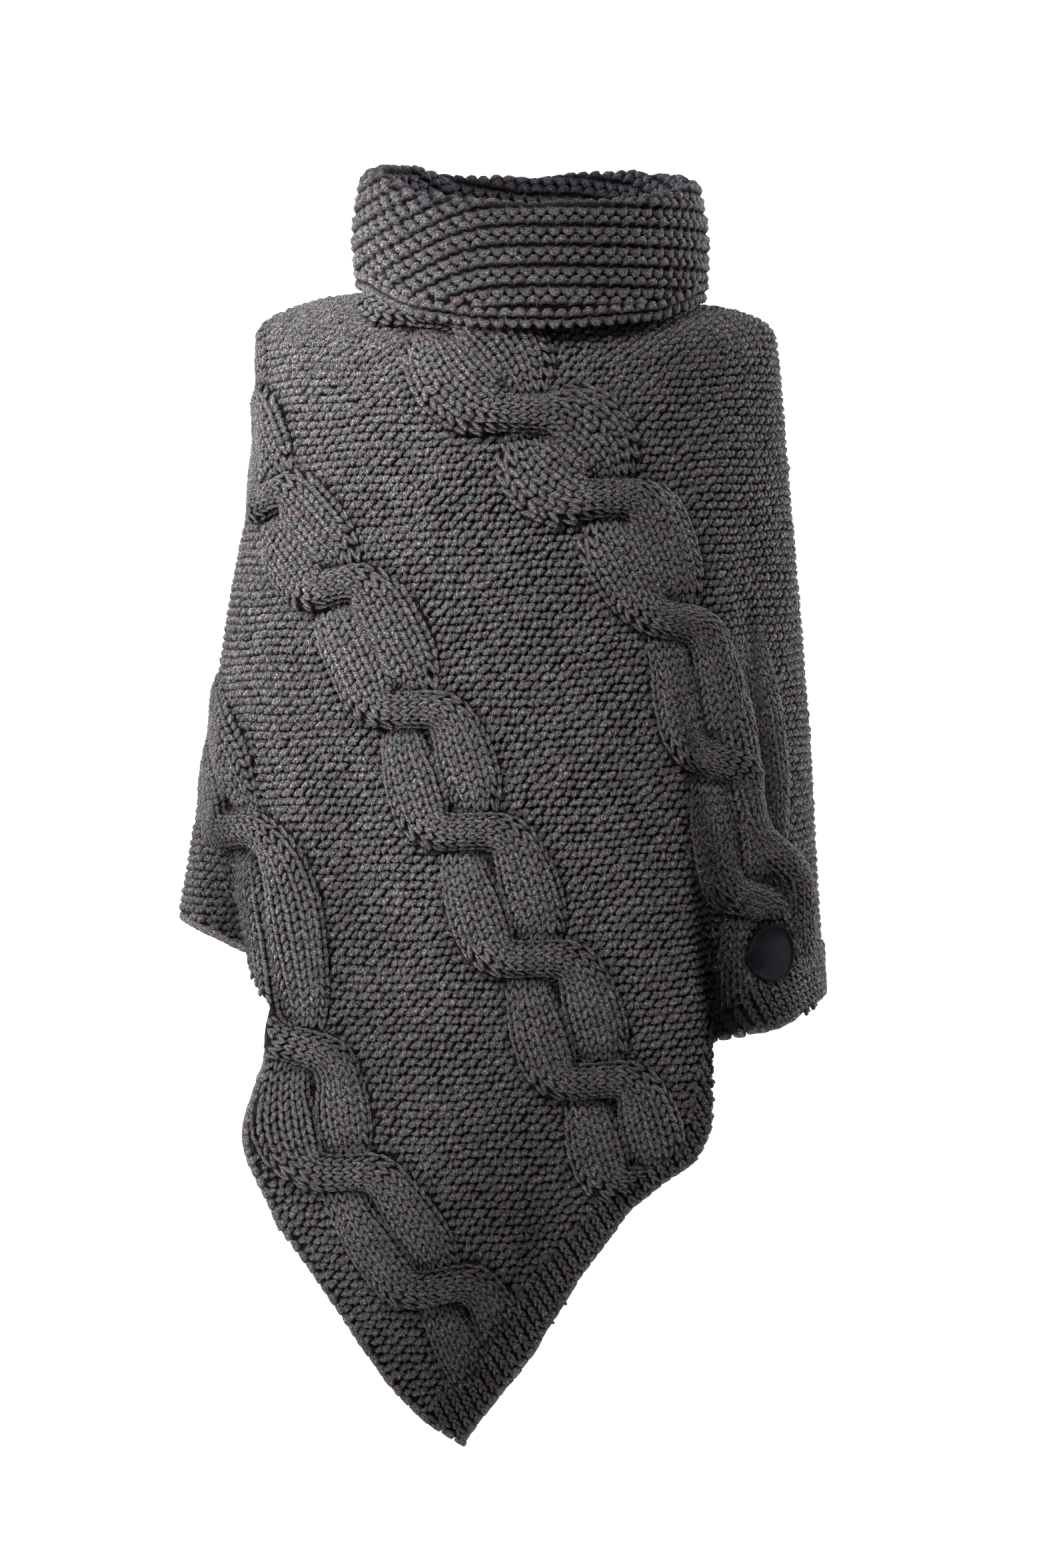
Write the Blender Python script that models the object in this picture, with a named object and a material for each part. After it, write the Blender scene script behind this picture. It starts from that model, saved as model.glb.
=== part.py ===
"""Cable-knit poncho sweater with a folded cowl, worn and filled out, open at neck and hem.

Three pieces: the wrap (one knitted strip laid round the body, its end joined down the
right side), the cowl (one garter-stitch band folded outward) and the round sewn-on badge.
The origin is the centre of the neck opening at the height of the cowl seam, +Z up, the
front of the garment towards -Y. Sizes below are millimetres, turned into metres at the end.
"""
import bpy
import bmesh
import numpy as np
from mathutils import Vector, kdtree
from mathutils.bvhtree import BVHTree
from mathutils.geometry import delaunay_2d_cdt

MM = 0.001

# ---------------------------------------------------------------- driving sizes
WALL = 5.0                 # thickness of the knitted cloth
SEAM_GAP = 0.3             # clearance where two pieces meet
EDGE_PITCH = 17.0          # longest step along the wrap's edges
CABLE_STEP = 10.3          # spacing of the points along a cable
CABLE_LANES = (-37.0, -30.0, -20.0, -10.0, 0.0, 10.0, 20.0, 30.0, 37.0)
GROUND_STEP = 30.0         # spacing of the points on the plain ground
CAP_LENGTH = 110.0         # nominal length of cloth across the shoulder
ANGLE_LENGTH = 3.7         # nominal length of cloth for one degree round the body

CABLE_HALF_WIDTH = 21.0    # half width of one strand of a cable
CABLE_SPREAD = 17.0        # a strand's distance from the cable's middle line
CABLE_RISE = 9.0           # height of a strand over the ground
CROSS_LIFT = 4.0           # extra height of the strand that passes over
CROSS_LENGTH = 0.14        # how quickly strands change sides, in crossing spacings
CROSS_REACH = 0.16         # how far the lift reaches to each side, in crossing spacings
STRAND_SHAPE = (2.4, 0.6)  # powers of the strand's rounded section

NECK = {"middle": 3.0, "half_width": 110.0, "front": 84.0, "back": 90.0}
NECK_HEIGHT = {"left": 18.0, "right": 9.5, "front": -2.0, "back": 14.0}
SHOULDER_DROP = {"left": 34.0, "right": 25.5, "front": 94.0, "back": 86.0}
SECTION_POWER = 2.25       # 2 is an ellipse, larger is squarer
CHEST_FULLNESS = 1.6       # 1 slopes straight out from the neck, larger is fuller

# horizontal sections of the hanging part: height, reach to each side of the middle plane
SECTION_COLUMNS = ("height", "left", "right", "front", "back")
SECTION_ROWS = (
    (40.0, 193.0, 180.0, 96.0, 94.0),
    (-13.0, 198.0, 185.0, 104.0, 100.0),
    (-40.0, 199.0, 188.5, 110.0, 105.0),
    (-100.0, 202.0, 193.5, 121.0, 113.0),
    (-148.0, 209.0, 197.5, 128.0, 119.0),
    (-210.0, 221.0, 203.0, 134.0, 124.0),
    (-313.0, 237.0, 211.5, 141.0, 130.0),
    (-446.0, 260.0, 219.0, 148.0, 137.0),
    (-510.0, 269.0, 223.0, 150.0, 140.0),
    (-610.0, 281.0, 229.0, 150.0, 142.0),
    (-860.0, 296.0, 236.0, 142.0, 140.0),
)

# hem: angle round the body (0 front, 90 the wearer's left side), height of the edge
EDGE_COLUMNS = ("angle", "height")
HEM = (
    (-90.0, -447.0),
    (-63.0, -455.0),
    (-52.0, -470.0),
    (-44.0, -487.0),
    (-39.5, -502.0),
    (-38.6, -545.0),
    (-38.0, -590.0),
    (-37.0, -625.0),
    (-35.5, -664.0),
    (-25.5, -723.0),
    (-17.0, -778.0),
    (-12.0, -803.0),
    (-7.5, -818.0),
    (-1.0, -767.0),
    (2.0, -736.0),
    (7.5, -695.0),
    (16.0, -648.0),
    (22.0, -629.0),
    (29.0, -612.0),
    (33.0, -590.0),
    (34.6, -562.0),
    (36.0, -545.0),
    (38.5, -533.0),
    (46.0, -523.0),
    (59.0, -515.0),
    (84.0, -506.0),
    (90.0, -504.0),
)
BACK_HEM = (
    (90.0, -504.0),
    (110.0, -502.0),
    (128.0, -508.0),
    (140.0, -520.0),
    (152.0, -560.0),
    (165.0, -625.0),
    (176.0, -690.0),
    (188.0, -672.0),
    (200.0, -620.0),
    (212.0, -550.0),
    (222.0, -482.0),
    (235.0, -456.0),
    (250.0, -449.0),
    (270.0, -447.0),
)

# cables: where their strands cross, in the flat cloth (across, up)
CABLES = {
    "cable_neck": ((-114.0, 96.0), (-70.0, 12.0), (-1.0, -75.0), (61.0, -136.0),
                   (110.0, -225.0), (145.0, -326.0), (176.0, -428.0)),
    "cable_middle": ((-300.0, 20.0), (-264.0, -66.0), (-213.0, -136.0), (-142.0, -200.0),
                     (-86.0, -289.0), (-41.0, -376.0), (6.0, -467.0), (50.0, -555.0),
                     (88.0, -630.0)),
    "cable_edge": ((-345.0, -290.0), (-228.0, -380.0), (-168.0, -534.0),
                   (-131.0, -624.0), (-63.0, -705.0), (-5.0, -780.0)),
    "cable_side": ((177.0, -262.0), (213.0, -391.0), (222.0, -421.0)),
}
CABLE_END_FADE = 14.0      # length over which a cable sinks into the ribbing
NECK_PLAIN = (0.12, 0.38)  # falls between which the cables come up beside the cowl seam
ARM_SIDE_PRESS = 0.5       # share of a cable's height that is left over the arm's side
ARM_SIDE_REACH = 0.45      # cosine of the angle where that pressing begins

# folds: centre line in the flat cloth, half width and depth (inward) at both ends
FOLD_COLUMNS = ("side", "across_1", "up_1", "across_2", "up_2",
                "width_1", "width_2", "depth_1", "depth_2")
FOLDS = (
    ("front", 130.0, -396.0, 163.0, -550.0, 11.0, 19.0, 3.0, 32.0),
    ("front", 100.0, -430.0, 112.0, -600.0, 30.0, 30.0, -3.0, -10.0),
    ("front", 205.0, -420.0, 205.0, -525.0, 30.0, 28.0, -3.0, -6.0),
    ("front", -268.0, -380.0, -232.0, -470.0, 34.0, 30.0, 6.0, 22.0),
    ("front", -178.0, -380.0, -195.0, -590.0, 24.0, 26.0, -5.0, -9.0),
    ("front", -152.0, -300.0, -120.0, -540.0, 30.0, 34.0, 3.0, 9.0),
    ("front", 150.0, -180.0, 163.0, -330.0, 24.0, 24.0, -4.0, -7.0),
    ("front", 182.0, -262.0, 186.0, -340.0, 14.0, 14.0, 5.0, 7.0),
    ("front", 20.0, -560.0, -50.0, -760.0, 44.0, 40.0, 3.0, 9.0),
    ("back", -120.0, -220.0, -110.0, -560.0, 50.0, 50.0, 3.0, 14.0),
    ("back", -20.0, -260.0, 5.0, -660.0, 44.0, 44.0, -3.0, -12.0),
    ("back", 110.0, -240.0, 95.0, -560.0, 46.0, 46.0, 3.0, 14.0),
    ("back", -215.0, -260.0, -235.0, -440.0, 44.0, 44.0, -2.0, -7.0),
    ("back", 200.0, -260.0, 205.0, -480.0, 44.0, 44.0, -2.0, -7.0),
)
FOLD_END_FADE = 45.0       # length over which a fold runs out beyond its ends
FOLD_SIDE_FADE = 0.25      # cosine of the angle where the folds give way to the arm's side

# the long corner swings out sideways at its left edge: place, radius, swing
SWING = {"across": -216.0, "up": -604.0, "radius": 56.0, "sideways": -26.0, "forward": -9.0}

# folded cowl: heights of its rim and of its free lower edge, as (angle, height)
COWL_COLUMNS_ROUND = 56
COWL_POWER = 2.15
COWL_RIDGES = 6
COWL_RIDGE_RISE = 2.4
COWL_WALL = 5.0
RIM_HEIGHT = (
    (-180.0, 113.5), (-153.0, 113.0), (-132.0, 119.5), (-112.0, 117.0), (-90.0, 109.5),
    (-75.0, 107.0), (-59.0, 102.5), (-52.0, 97.0), (-45.0, 90.0), (-26.0, 84.5),
    (-14.0, 81.5), (0.0, 79.5), (21.0, 81.0), (39.0, 84.5), (49.0, 89.0), (61.0, 93.0),
    (80.0, 98.5), (90.0, 101.5), (103.0, 107.0), (121.0, 111.0), (139.0, 116.0),
    (162.0, 116.0), (180.0, 113.5),
)
COWL_EDGE_HEIGHT = (
    (-180.0, 12.0), (-130.0, 19.0), (-90.0, 25.0), (-65.0, 17.0), (-41.0, -1.0),
    (-15.0, -10.0), (10.0, -11.0), (45.0, -3.5), (70.0, 10.0), (90.0, 14.0),
    (130.0, 13.0), (180.0, 12.0),
)
COWL_OUTER = {"left": 132.0, "right": 138.0, "front": 118.0, "back": 115.0}
COWL_RIM_TUCK = 9.0        # the rim stands this far inside the fullest part
COWL_EDGE_TUCK = 4.0       # the free edge stands this far inside the fullest part
COWL_INNER_TOP = 0.93      # share of the height where the inner layer meets the rim
COWL_OUTER_TOP = 0.95      # share of the height where the outer layer meets the rim
COWL_OUTER_LOW = 0.03      # share of the height where the outer layer's edge turns in
COWL_RIM_HALF = 4.2        # half thickness of the rounded rim
COWL_RIM_DROP = 2.0        # the rim's shoulders stand this far under its crown

BADGE_RADIUS = 21.0
BADGE_THICKNESS = 1.8
BADGE_RIM = 0.7            # the overcast border stands this much higher
BADGE_AT = (179.0, -466.0)  # across, up
BADGE_LIFT = 0.9           # clearance over the cloth
BADGE_FACING = (0.3, -0.954, 0.0)
BADGE_STEPS_ROUND = 28
BADGE_RINGS = (0.0, 0.3, 0.58, 0.86, 1.0)   # shares of the radius
BADGE_SOFT_EDGE = 0.3


# ---------------------------------------------------------------- helpers
def clear_scene():
    for obj in list(bpy.data.objects):
        bpy.data.objects.remove(obj, do_unlink=True)


def table(columns, rows):
    """Rows of numbers as one array for each named column."""
    return {name: np.array(values, float) for name, values in zip(columns, zip(*rows))}


SECTION = table(SECTION_COLUMNS, SECTION_ROWS[::-1])
RIM = table(EDGE_COLUMNS, RIM_HEIGHT)
COWL_EDGE = table(EDGE_COLUMNS, COWL_EDGE_HEIGHT)


def power(value, exponent):
    return np.sign(value) * np.abs(value) ** exponent


def by_direction(angle, sizes):
    """Blend a side size into the front and back sizes round the body."""
    cosine = np.cos(angle)
    side = np.where(np.sin(angle) < 0.0, sizes["left"], sizes["right"])
    end = np.where(cosine > 0.0, sizes["front"], sizes["back"])
    return side + (end - side) * cosine * cosine


def section(angle, height):
    """Point of the horizontal section of the hanging cloth at one height."""
    reach = {name: np.interp(height, SECTION["height"], SECTION[name])
             for name in ("left", "right", "front", "back")}
    sine = np.sin(angle)
    cosine = np.cos(angle)
    side = np.where(sine < 0.0, reach["left"], reach["right"])
    deep = np.where(cosine > 0.0, reach["front"], reach["back"])
    return (side * power(sine, 2.0 / SECTION_POWER),
            -deep * power(cosine, 2.0 / SECTION_POWER))


def form(angle, fall):
    """Smooth form of the wrap: fall 0 to 1 crosses the shoulder, beyond 1 it hangs
    down by a metre a unit."""
    top = by_direction(angle, NECK_HEIGHT)
    shoulder = top - by_direction(angle, SHOULDER_DROP)
    neck_x = NECK["middle"] + NECK["half_width"] * np.sin(angle)
    neck_y = -np.where(np.cos(angle) > 0.0, NECK["front"], NECK["back"]) * np.cos(angle)
    part = np.clip(fall, 0.0, 1.0)
    facing = np.cos(angle) ** 2
    out_round = np.sin(0.5 * np.pi * part)
    out_chest = 1.0 - (1.0 - part) ** CHEST_FULLNESS
    out = (1.0 - facing) * out_round + facing * out_chest
    down = (1.0 - facing) * (1.0 - np.cos(0.5 * np.pi * part)) + facing * part
    height = np.where(fall <= 1.0,
                      top + (shoulder - top) * down,
                      shoulder - (fall - 1.0) * 1000.0)
    full_x, full_y = section(angle, np.minimum(height, shoulder))
    x = neck_x + (full_x - neck_x) * out
    y = neck_y + (full_y - neck_y) * out
    return np.stack([x, y, height], axis=-1)


def cloth_table():
    """Flat-cloth coordinates (across, up) over a fine net of the form."""
    angles = np.radians(np.linspace(-180.0, 180.0, 361))
    falls = np.concatenate([np.linspace(0.0, 1.0, 21), 1.0 + np.linspace(0.02, 0.9, 45)])
    net = form(angles[None, :], falls[:, None])
    along_ring = np.linalg.norm(np.diff(net, axis=1), axis=2)
    arc = np.concatenate([np.zeros((len(falls), 1)), np.cumsum(along_ring, axis=1)], axis=1)
    arc -= arc[:, 180:181]
    left = arc[:, 90:91]
    right = arc[:, 270:271]
    back_left = (arc - arc[:, :1]) * left / (left - arc[:, :1])
    back_right = (arc[:, -1:] - arc) * right / (arc[:, -1:] - right)
    across = arc.copy()
    across[:, :90] = back_left[:, :90]
    across[:, 271:] = back_right[:, 271:]
    step = np.linalg.norm(np.diff(net, axis=0), axis=2)
    run = np.concatenate([np.zeros((1, len(angles))), np.cumsum(step, axis=0)], axis=0)
    up = net[20, :, 2][None, :] + (run[20][None, :] - run)
    return angles, falls, across, up


TABLE = cloth_table()


def lookup(angle, fall):
    """Flat-cloth coordinates of points given by angle and fall."""
    angles, falls, across, up = TABLE
    turn = np.mod(angle + np.pi, 2.0 * np.pi)
    i = np.clip(turn / (angles[1] - angles[0]), 0.0, len(angles) - 1.001)
    j = np.interp(fall, falls, np.arange(len(falls)))
    j = np.clip(j, 0.0, len(falls) - 1.001)
    i0 = i.astype(int)
    j0 = j.astype(int)
    u = i - i0
    v = j - j0

    def blend(grid):
        low = grid[j0, i0] * (1.0 - u) + grid[j0, i0 + 1] * u
        high = grid[j0 + 1, i0] * (1.0 - u) + grid[j0 + 1, i0 + 1] * u
        return low * (1.0 - v) + high * v

    return blend(across), blend(up)


def fold_depth(angle, across, up):
    """How far the folds push the cloth inward at each point."""
    is_front = np.cos(angle) >= 0.0
    depth = np.zeros_like(across)
    for side, x1, z1, x2, z2, w1, w2, d1, d2 in FOLDS:
        run = np.array([x2 - x1, z2 - z1])
        length = np.hypot(run[0], run[1])
        along = ((across - x1) * run[0] + (up - z1) * run[1]) / length
        off = ((across - x1) * run[1] - (up - z1) * run[0]) / length
        part = np.clip(along / length, 0.0, 1.0)
        over = along - part * length
        width = w1 + (w2 - w1) * part
        local = (d1 + (d2 - d1) * part) * np.exp(-(off / width) ** 2)
        local = local * np.exp(-(over / FOLD_END_FADE) ** 2)
        on_side = is_front if side == "front" else ~is_front
        depth += np.where(on_side, local, 0.0)
    side_fade = np.clip(np.abs(np.cos(angle)) / FOLD_SIDE_FADE, 0.0, 1.0)
    return depth * side_fade * side_fade * (3.0 - 2.0 * side_fade)


def smooth_line(points, per_part=10):
    """Catmull-Rom line through the points, with its crossing count."""
    pts = np.array(points, float)
    ends = np.vstack([2 * pts[0] - pts[1], pts, 2 * pts[-1] - pts[-2]])
    line = []
    count = []
    for k in range(len(pts) - 1):
        p0, p1, p2, p3 = ends[k:k + 4]
        for t in np.arange(per_part) / per_part:
            line.append(0.5 * (2 * p1 + (p2 - p0) * t + (2 * p0 - 5 * p1 + 4 * p2 - p3) * t ** 2
                               + (3 * p1 - p0 - 3 * p2 + p3) * t ** 3))
            count.append(k + t)
    line.append(pts[-1])
    count.append(len(pts) - 1.0)
    return np.array(line), np.array(count)


def cable_rise(across, up, facing):
    """Height of the cables over the ground at points of the flat cloth; facing is 1 on
    the front and -1 on the back, where the same twist is seen from the other side."""
    rise = np.zeros_like(across)
    for points in CABLES.values():
        line, count = smooth_line(points)
        best = np.full(across.shape, 1e9)
        off = np.zeros_like(across)
        turn = np.zeros_like(across)
        over = np.zeros_like(across)
        for k in range(len(line) - 1):
            run = line[k + 1] - line[k]
            length = np.hypot(run[0], run[1])
            along = ((across - line[k][0]) * run[0] + (up - line[k][1]) * run[1]) / length
            side = ((across - line[k][0]) * run[1] - (up - line[k][1]) * run[0]) / -length
            held = np.clip(along, 0.0, length)
            distance = np.hypot(along - held, side)
            nearer = distance < best
            best = np.where(nearer, distance, best)
            off = np.where(nearer, side, off)
            turn = np.where(nearer, count[k] + (count[k + 1] - count[k]) * held / length, turn)
            over = np.where(nearer, np.abs(along - held), over)
        spacing = np.hypot(*(line[-1] - line[0])) / count[-1]
        local = turn - np.round(turn)
        swap = np.tanh(local / CROSS_LENGTH) / np.tanh(0.5 / CROSS_LENGTH)
        slope = CABLE_SPREAD / (CROSS_LENGTH * spacing) / np.cosh(local / CROSS_LENGTH) ** 2
        narrow = 1.0 / np.sqrt(1.0 + slope * slope)
        bump = np.exp(-(local / CROSS_REACH) ** 2)
        for sign in (1.0, -1.0):
            gap = np.abs(facing * off - sign * CABLE_SPREAD * swap) * narrow / CABLE_HALF_WIDTH
            top = CABLE_RISE + sign * CROSS_LIFT * bump
            strand = top * np.clip(1.0 - gap ** STRAND_SHAPE[0], 0.0, 1.0) ** STRAND_SHAPE[1]
            strand *= np.exp(-(over / CABLE_END_FADE) ** 2)
            rise = np.maximum(rise, strand)
    return rise


def cloth_point(angle, fall):
    """The wrap's outer ground: the form with its folds and the swinging corner."""
    base = form(angle, fall)
    across, up = lookup(angle, fall)
    step = 0.004
    ring = form(angle + step, fall) - form(angle - step, fall)
    down = form(angle, fall + step) - form(angle, np.maximum(fall - step, 0.0))
    out = np.cross(down, ring)
    out /= np.linalg.norm(out, axis=-1, keepdims=True)
    level = out.copy()
    level[..., 2] *= np.where(fall < 1.0, 1.0, 0.0)
    level /= np.linalg.norm(level, axis=-1, keepdims=True)
    point = base - level * fold_depth(angle, across, up)[..., None]
    reach = np.hypot(across - SWING["across"], up - SWING["up"]) / SWING["radius"]
    pull = np.where(np.cos(angle) > 0.0, np.exp(-reach ** 2), 0.0)
    point[..., 0] += SWING["sideways"] * pull
    point[..., 1] += SWING["forward"] * pull
    return point


def cloth_normal(angle, fall):
    step_round = 0.012
    step_down = 0.006
    ring = cloth_point(angle + step_round, fall) - cloth_point(angle - step_round, fall)
    high = np.maximum(fall - step_down, 0.0)
    down = cloth_point(angle, fall + step_down) - cloth_point(angle, high)
    out = np.cross(down, ring)
    return out / np.linalg.norm(out, axis=-1, keepdims=True)


def to_net(angle, fall):
    """Nominal flat position, near true lengths, used only to space the points."""
    down = CAP_LENGTH * np.minimum(fall, 1.0) + 1000.0 * np.maximum(fall - 1.0, 0.0)
    return np.stack([np.degrees(angle) * ANGLE_LENGTH, down], axis=-1)


def from_net(net):
    angle = np.radians(net[..., 0] / ANGLE_LENGTH)
    over = net[..., 1] - CAP_LENGTH
    fall = np.where(over < 0.0, net[..., 1] / CAP_LENGTH, 1.0 + over / 1000.0)
    return angle, np.maximum(fall, 0.0)


def edge_fall(angle, height):
    top = by_direction(angle, NECK_HEIGHT)
    shoulder = top - by_direction(angle, SHOULDER_DROP)
    return 1.0 + (shoulder - height) / 1000.0


def wrap_outline():
    """Closed outline of the wrap in the net: hem, one seam edge, neck, other seam edge."""
    hem = []
    for rows, turn in ((HEM[::-1], 0.0), (BACK_HEM[::-1], -360.0)):
        for first, last in zip(rows[:-1], rows[1:]):
            angles = np.radians(np.array([first[0], last[0]]) + turn)
            falls = edge_fall(angles, np.array([first[1], last[1]]))
            ends = to_net(angles, falls)
            parts = max(1, int(np.ceil(np.hypot(*(ends[1] - ends[0])) / EDGE_PITCH)))
            for part in range(parts):
                share = part / parts
                hem.append((angles[0] + (angles[1] - angles[0]) * share,
                            falls[0] + (falls[1] - falls[0]) * share))
    last = np.radians(BACK_HEM[0][0] - 360.0)
    hem.append((last, float(edge_fall(last, BACK_HEM[0][1]))))
    hem = to_net(*np.array(hem).T)
    start = hem[0]
    end = hem[-1]
    side_count = int(np.ceil(start[1] / EDGE_PITCH))
    rise = np.linspace(1.0, 0.0, side_count + 1)[1:]
    far_side = np.stack([np.full_like(rise, end[0]), end[1] * rise], axis=-1)
    neck_count = int(np.ceil((start[0] - end[0]) / EDGE_PITCH))
    across = np.linspace(end[0], start[0], neck_count + 1)[1:]
    neck = np.stack([across, np.zeros_like(across)], axis=-1)
    near_side = np.stack([np.full(side_count - 1, start[0]), start[1] * rise[::-1][1:]], axis=-1)
    return np.vstack([hem, far_side, neck, near_side])


def find_on_cloth(across, up, side):
    """Net positions of flat-cloth points on the front or the back."""
    angles, falls, grid_across, grid_up = TABLE
    if side == "front":
        columns = np.arange(90, 271)
        turns = angles[columns]
    else:
        columns = np.concatenate([np.arange(271, 361), np.arange(0, 90)])
        turns = angles[columns] - np.where(columns >= 271, 2.0 * np.pi, 0.0)
    found = []
    for x, z in zip(across, up):
        miss = (grid_across[:, columns] - x) ** 2 + (grid_up[:, columns] - z) ** 2
        j, i = np.unravel_index(np.argmin(miss), miss.shape)
        guess = np.array([turns[i], falls[j]])
        for _ in range(3):
            here = np.array(lookup(guess[:1], guess[1:])).ravel()
            round_step = np.array(lookup(guess[:1] + 0.02, guess[1:])).ravel() - here
            down_step = np.array(lookup(guess[:1], guess[1:] + 0.02)).ravel() - here
            jacobian = np.stack([round_step, down_step], axis=1) / 0.02
            move = np.linalg.lstsq(jacobian, np.array([x, z]) - here, rcond=None)[0]
            guess = guess + np.clip(move, -0.05, 0.05)
            guess[1] = max(guess[1], 0.0)
        here = np.array(lookup(guess[:1], guess[1:])).ravel()
        if np.hypot(*(here - (x, z))) < 2.0:
            found.append(to_net(guess[0], guess[1]))
    return found


def cable_points():
    """Points in lanes along every cable, on the front and on the back."""
    points = []
    for line_points in CABLES.values():
        line, _ = smooth_line(line_points)
        run = np.concatenate([[0.0], np.cumsum(np.hypot(*np.diff(line, axis=0).T))])
        places = np.arange(0.0, run[-1], CABLE_STEP)
        x = np.interp(places, run, line[:, 0])
        z = np.interp(places, run, line[:, 1])
        heading = np.stack([np.gradient(x), np.gradient(z)], axis=-1)
        heading /= np.linalg.norm(heading, axis=1, keepdims=True)
        for lane in CABLE_LANES:
            for side in ("front", "back"):
                points += find_on_cloth(x - heading[:, 1] * lane, z + heading[:, 0] * lane, side)
    return points


def distance_to(points, others):
    if not len(others):
        return np.full(len(points), 1e9)
    tree = kdtree.KDTree(len(others))
    for index, other in enumerate(others):
        tree.insert((other[0], other[1], 0.0), index)
    tree.balance()
    return np.array([tree.find((p[0], p[1], 0.0))[2] for p in points])


def inside_outline(points, outline):
    x, y = points[:, 0], points[:, 1]
    inside = np.zeros(len(points), bool)
    for (x1, y1), (x2, y2) in zip(outline, np.roll(outline, -1, axis=0)):
        crosses = (y1 > y) != (y2 > y)
        with np.errstate(divide="ignore", invalid="ignore"):
            at = x1 + (y - y1) * (x2 - x1) / (y2 - y1)
        inside ^= crosses & (x < at)
    return inside


def wrap_net():
    """Outline and inner points for the wrap's outer and inner faces."""
    outline = wrap_outline()
    dense_edge = np.vstack([outline + (np.roll(outline, -1, axis=0) - outline) * k / 4.0
                            for k in range(4)])
    kept = []
    for point in cable_points():
        if not kept or np.min(np.hypot(*(np.array(kept) - point).T)) > 0.6 * CABLE_STEP:
            kept.append(point)
    cable = np.array(kept)
    cable = cable[inside_outline(cable, outline)]
    cable = cable[distance_to(cable, dense_edge) > 0.5 * CABLE_STEP]
    low = outline.min(axis=0)
    high = outline.max(axis=0)
    half = 0.5 * GROUND_STEP
    rows = np.arange(low[1], high[1], half)
    ground = []
    for j, y in enumerate(rows):
        for i, x in enumerate(np.arange(low[0] + 0.5 * half * (j % 2), high[0], half)):
            ground.append((x, y, (i + (j // 2) % 2) % 2 == 0 and j % 2 == 0))
    ground = np.array(ground)
    angle, fall = from_net(ground[:, :2])
    across, up = lookup(angle, fall)
    bent = np.abs(fold_depth(angle, across, up)) > 2.5
    swung = np.hypot(across - SWING["across"], up - SWING["up"]) < 1.3 * SWING["radius"]
    swung &= np.cos(angle) > 0.0
    keep = (ground[:, 2] > 0) | (bent | swung)
    ground = ground[keep & inside_outline(ground[:, :2], outline), :2]
    ground = ground[distance_to(ground, dense_edge) > 0.55 * half]
    plain = ground[distance_to(ground, cable) > 0.8 * CABLE_STEP + 2.0]
    return outline, np.vstack([cable, plain]), ground


def triangles(outline, points):
    """Triangles over the outline and the points inside it."""
    spots = [Vector(p) for p in np.vstack([outline, points]).tolist()]
    loop = list(range(len(outline)))
    out = delaunay_2d_cdt(spots, [], [loop], 1, 1e-6)
    origin = [members[0] for members in out[3]]
    return [[origin[v] for v in tri] for tri in out[2]]


def new_object(name, mesh_data, colour, roughness):
    mesh = bpy.data.meshes.new(name)
    mesh_data.to_mesh(mesh)
    mesh_data.free()
    for polygon in mesh.polygons:
        polygon.use_smooth = True
    obj = bpy.data.objects.new(name, mesh)
    bpy.context.scene.collection.objects.link(obj)
    material = bpy.data.materials.new(name)
    material.use_nodes = True
    shader = material.node_tree.nodes["Principled BSDF"]
    shader.inputs["Base Color"].default_value = (*colour, 1.0)
    shader.inputs["Roughness"].default_value = roughness
    mesh.materials.append(material)
    return obj


def add_grid(bm, points):
    """Vertices of a grid of points in millimetres, as rows of BMVerts in metres."""
    return [[bm.verts.new(Vector(p) * MM) for p in row] for row in points.tolist()]


def face(bm, *verts):
    bm.faces.new(verts)


# ---------------------------------------------------------------- the wrap
def cloth_faces(net):
    """Ground points, outward directions and cable heights at points of the net."""
    angle, fall = from_net(net)
    across, up = lookup(angle, fall)
    sink = np.clip((fall - NECK_PLAIN[0]) / (NECK_PLAIN[1] - NECK_PLAIN[0]), 0.0, 1.0)
    facing = np.where(np.cos(angle) >= 0.0, 1.0, -1.0)
    rise = cable_rise(across, up, facing) * sink * sink * (3.0 - 2.0 * sink)
    side = np.clip(np.abs(np.cos(angle)) / ARM_SIDE_REACH, 0.0, 1.0)
    rise = rise * (ARM_SIDE_PRESS + (1.0 - ARM_SIDE_PRESS) * side * side)
    return cloth_point(angle, fall), cloth_normal(angle, fall), rise


def make_wrap():
    outline, outer_points, inner_points = wrap_net()
    edge = len(outline)
    seam_shift = np.zeros(edge)
    seam_shift[np.isclose(outline[:, 0], outline[:, 0].max())] = -0.5 * SEAM_GAP
    seam_shift[np.isclose(outline[:, 0], outline[:, 0].min())] = 0.5 * SEAM_GAP
    bm = bmesh.new()
    layers = []
    for points, is_outer in ((outer_points, True), (inner_points, False)):
        net = np.vstack([outline, points])
        ground, out, rise = cloth_faces(net)
        spots = ground + out * (rise[:, None] if is_outer else -WALL)
        spots[:edge, 1] += seam_shift
        verts = [bm.verts.new(Vector(p) * MM) for p in spots.tolist()]
        for tri in triangles(outline, points):
            face(bm, *(verts[k] for k in (tri if is_outer else tri[::-1])))
        layers.append(verts)
    outer, inner = layers
    for k in range(edge):
        m = (k + 1) % edge
        face(bm, outer[k], outer[m], inner[k])
        face(bm, outer[m], inner[m], inner[k])
    bmesh.ops.recalc_face_normals(bm, faces=bm.faces)
    return new_object("wrap", bm, (0.075, 0.073, 0.076), 0.95)


# ---------------------------------------------------------------- the cowl
def cowl_ring(angle, sizes, grow):
    sine = np.sin(angle)
    cosine = np.cos(angle)
    side = np.where(sine < 0.0, sizes["left"], sizes["right"]) + grow
    deep = np.where(cosine > 0.0, sizes["front"], sizes["back"]) + grow
    return side * power(sine, 2.0 / COWL_POWER), -deep * power(cosine, 2.0 / COWL_POWER)


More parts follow.
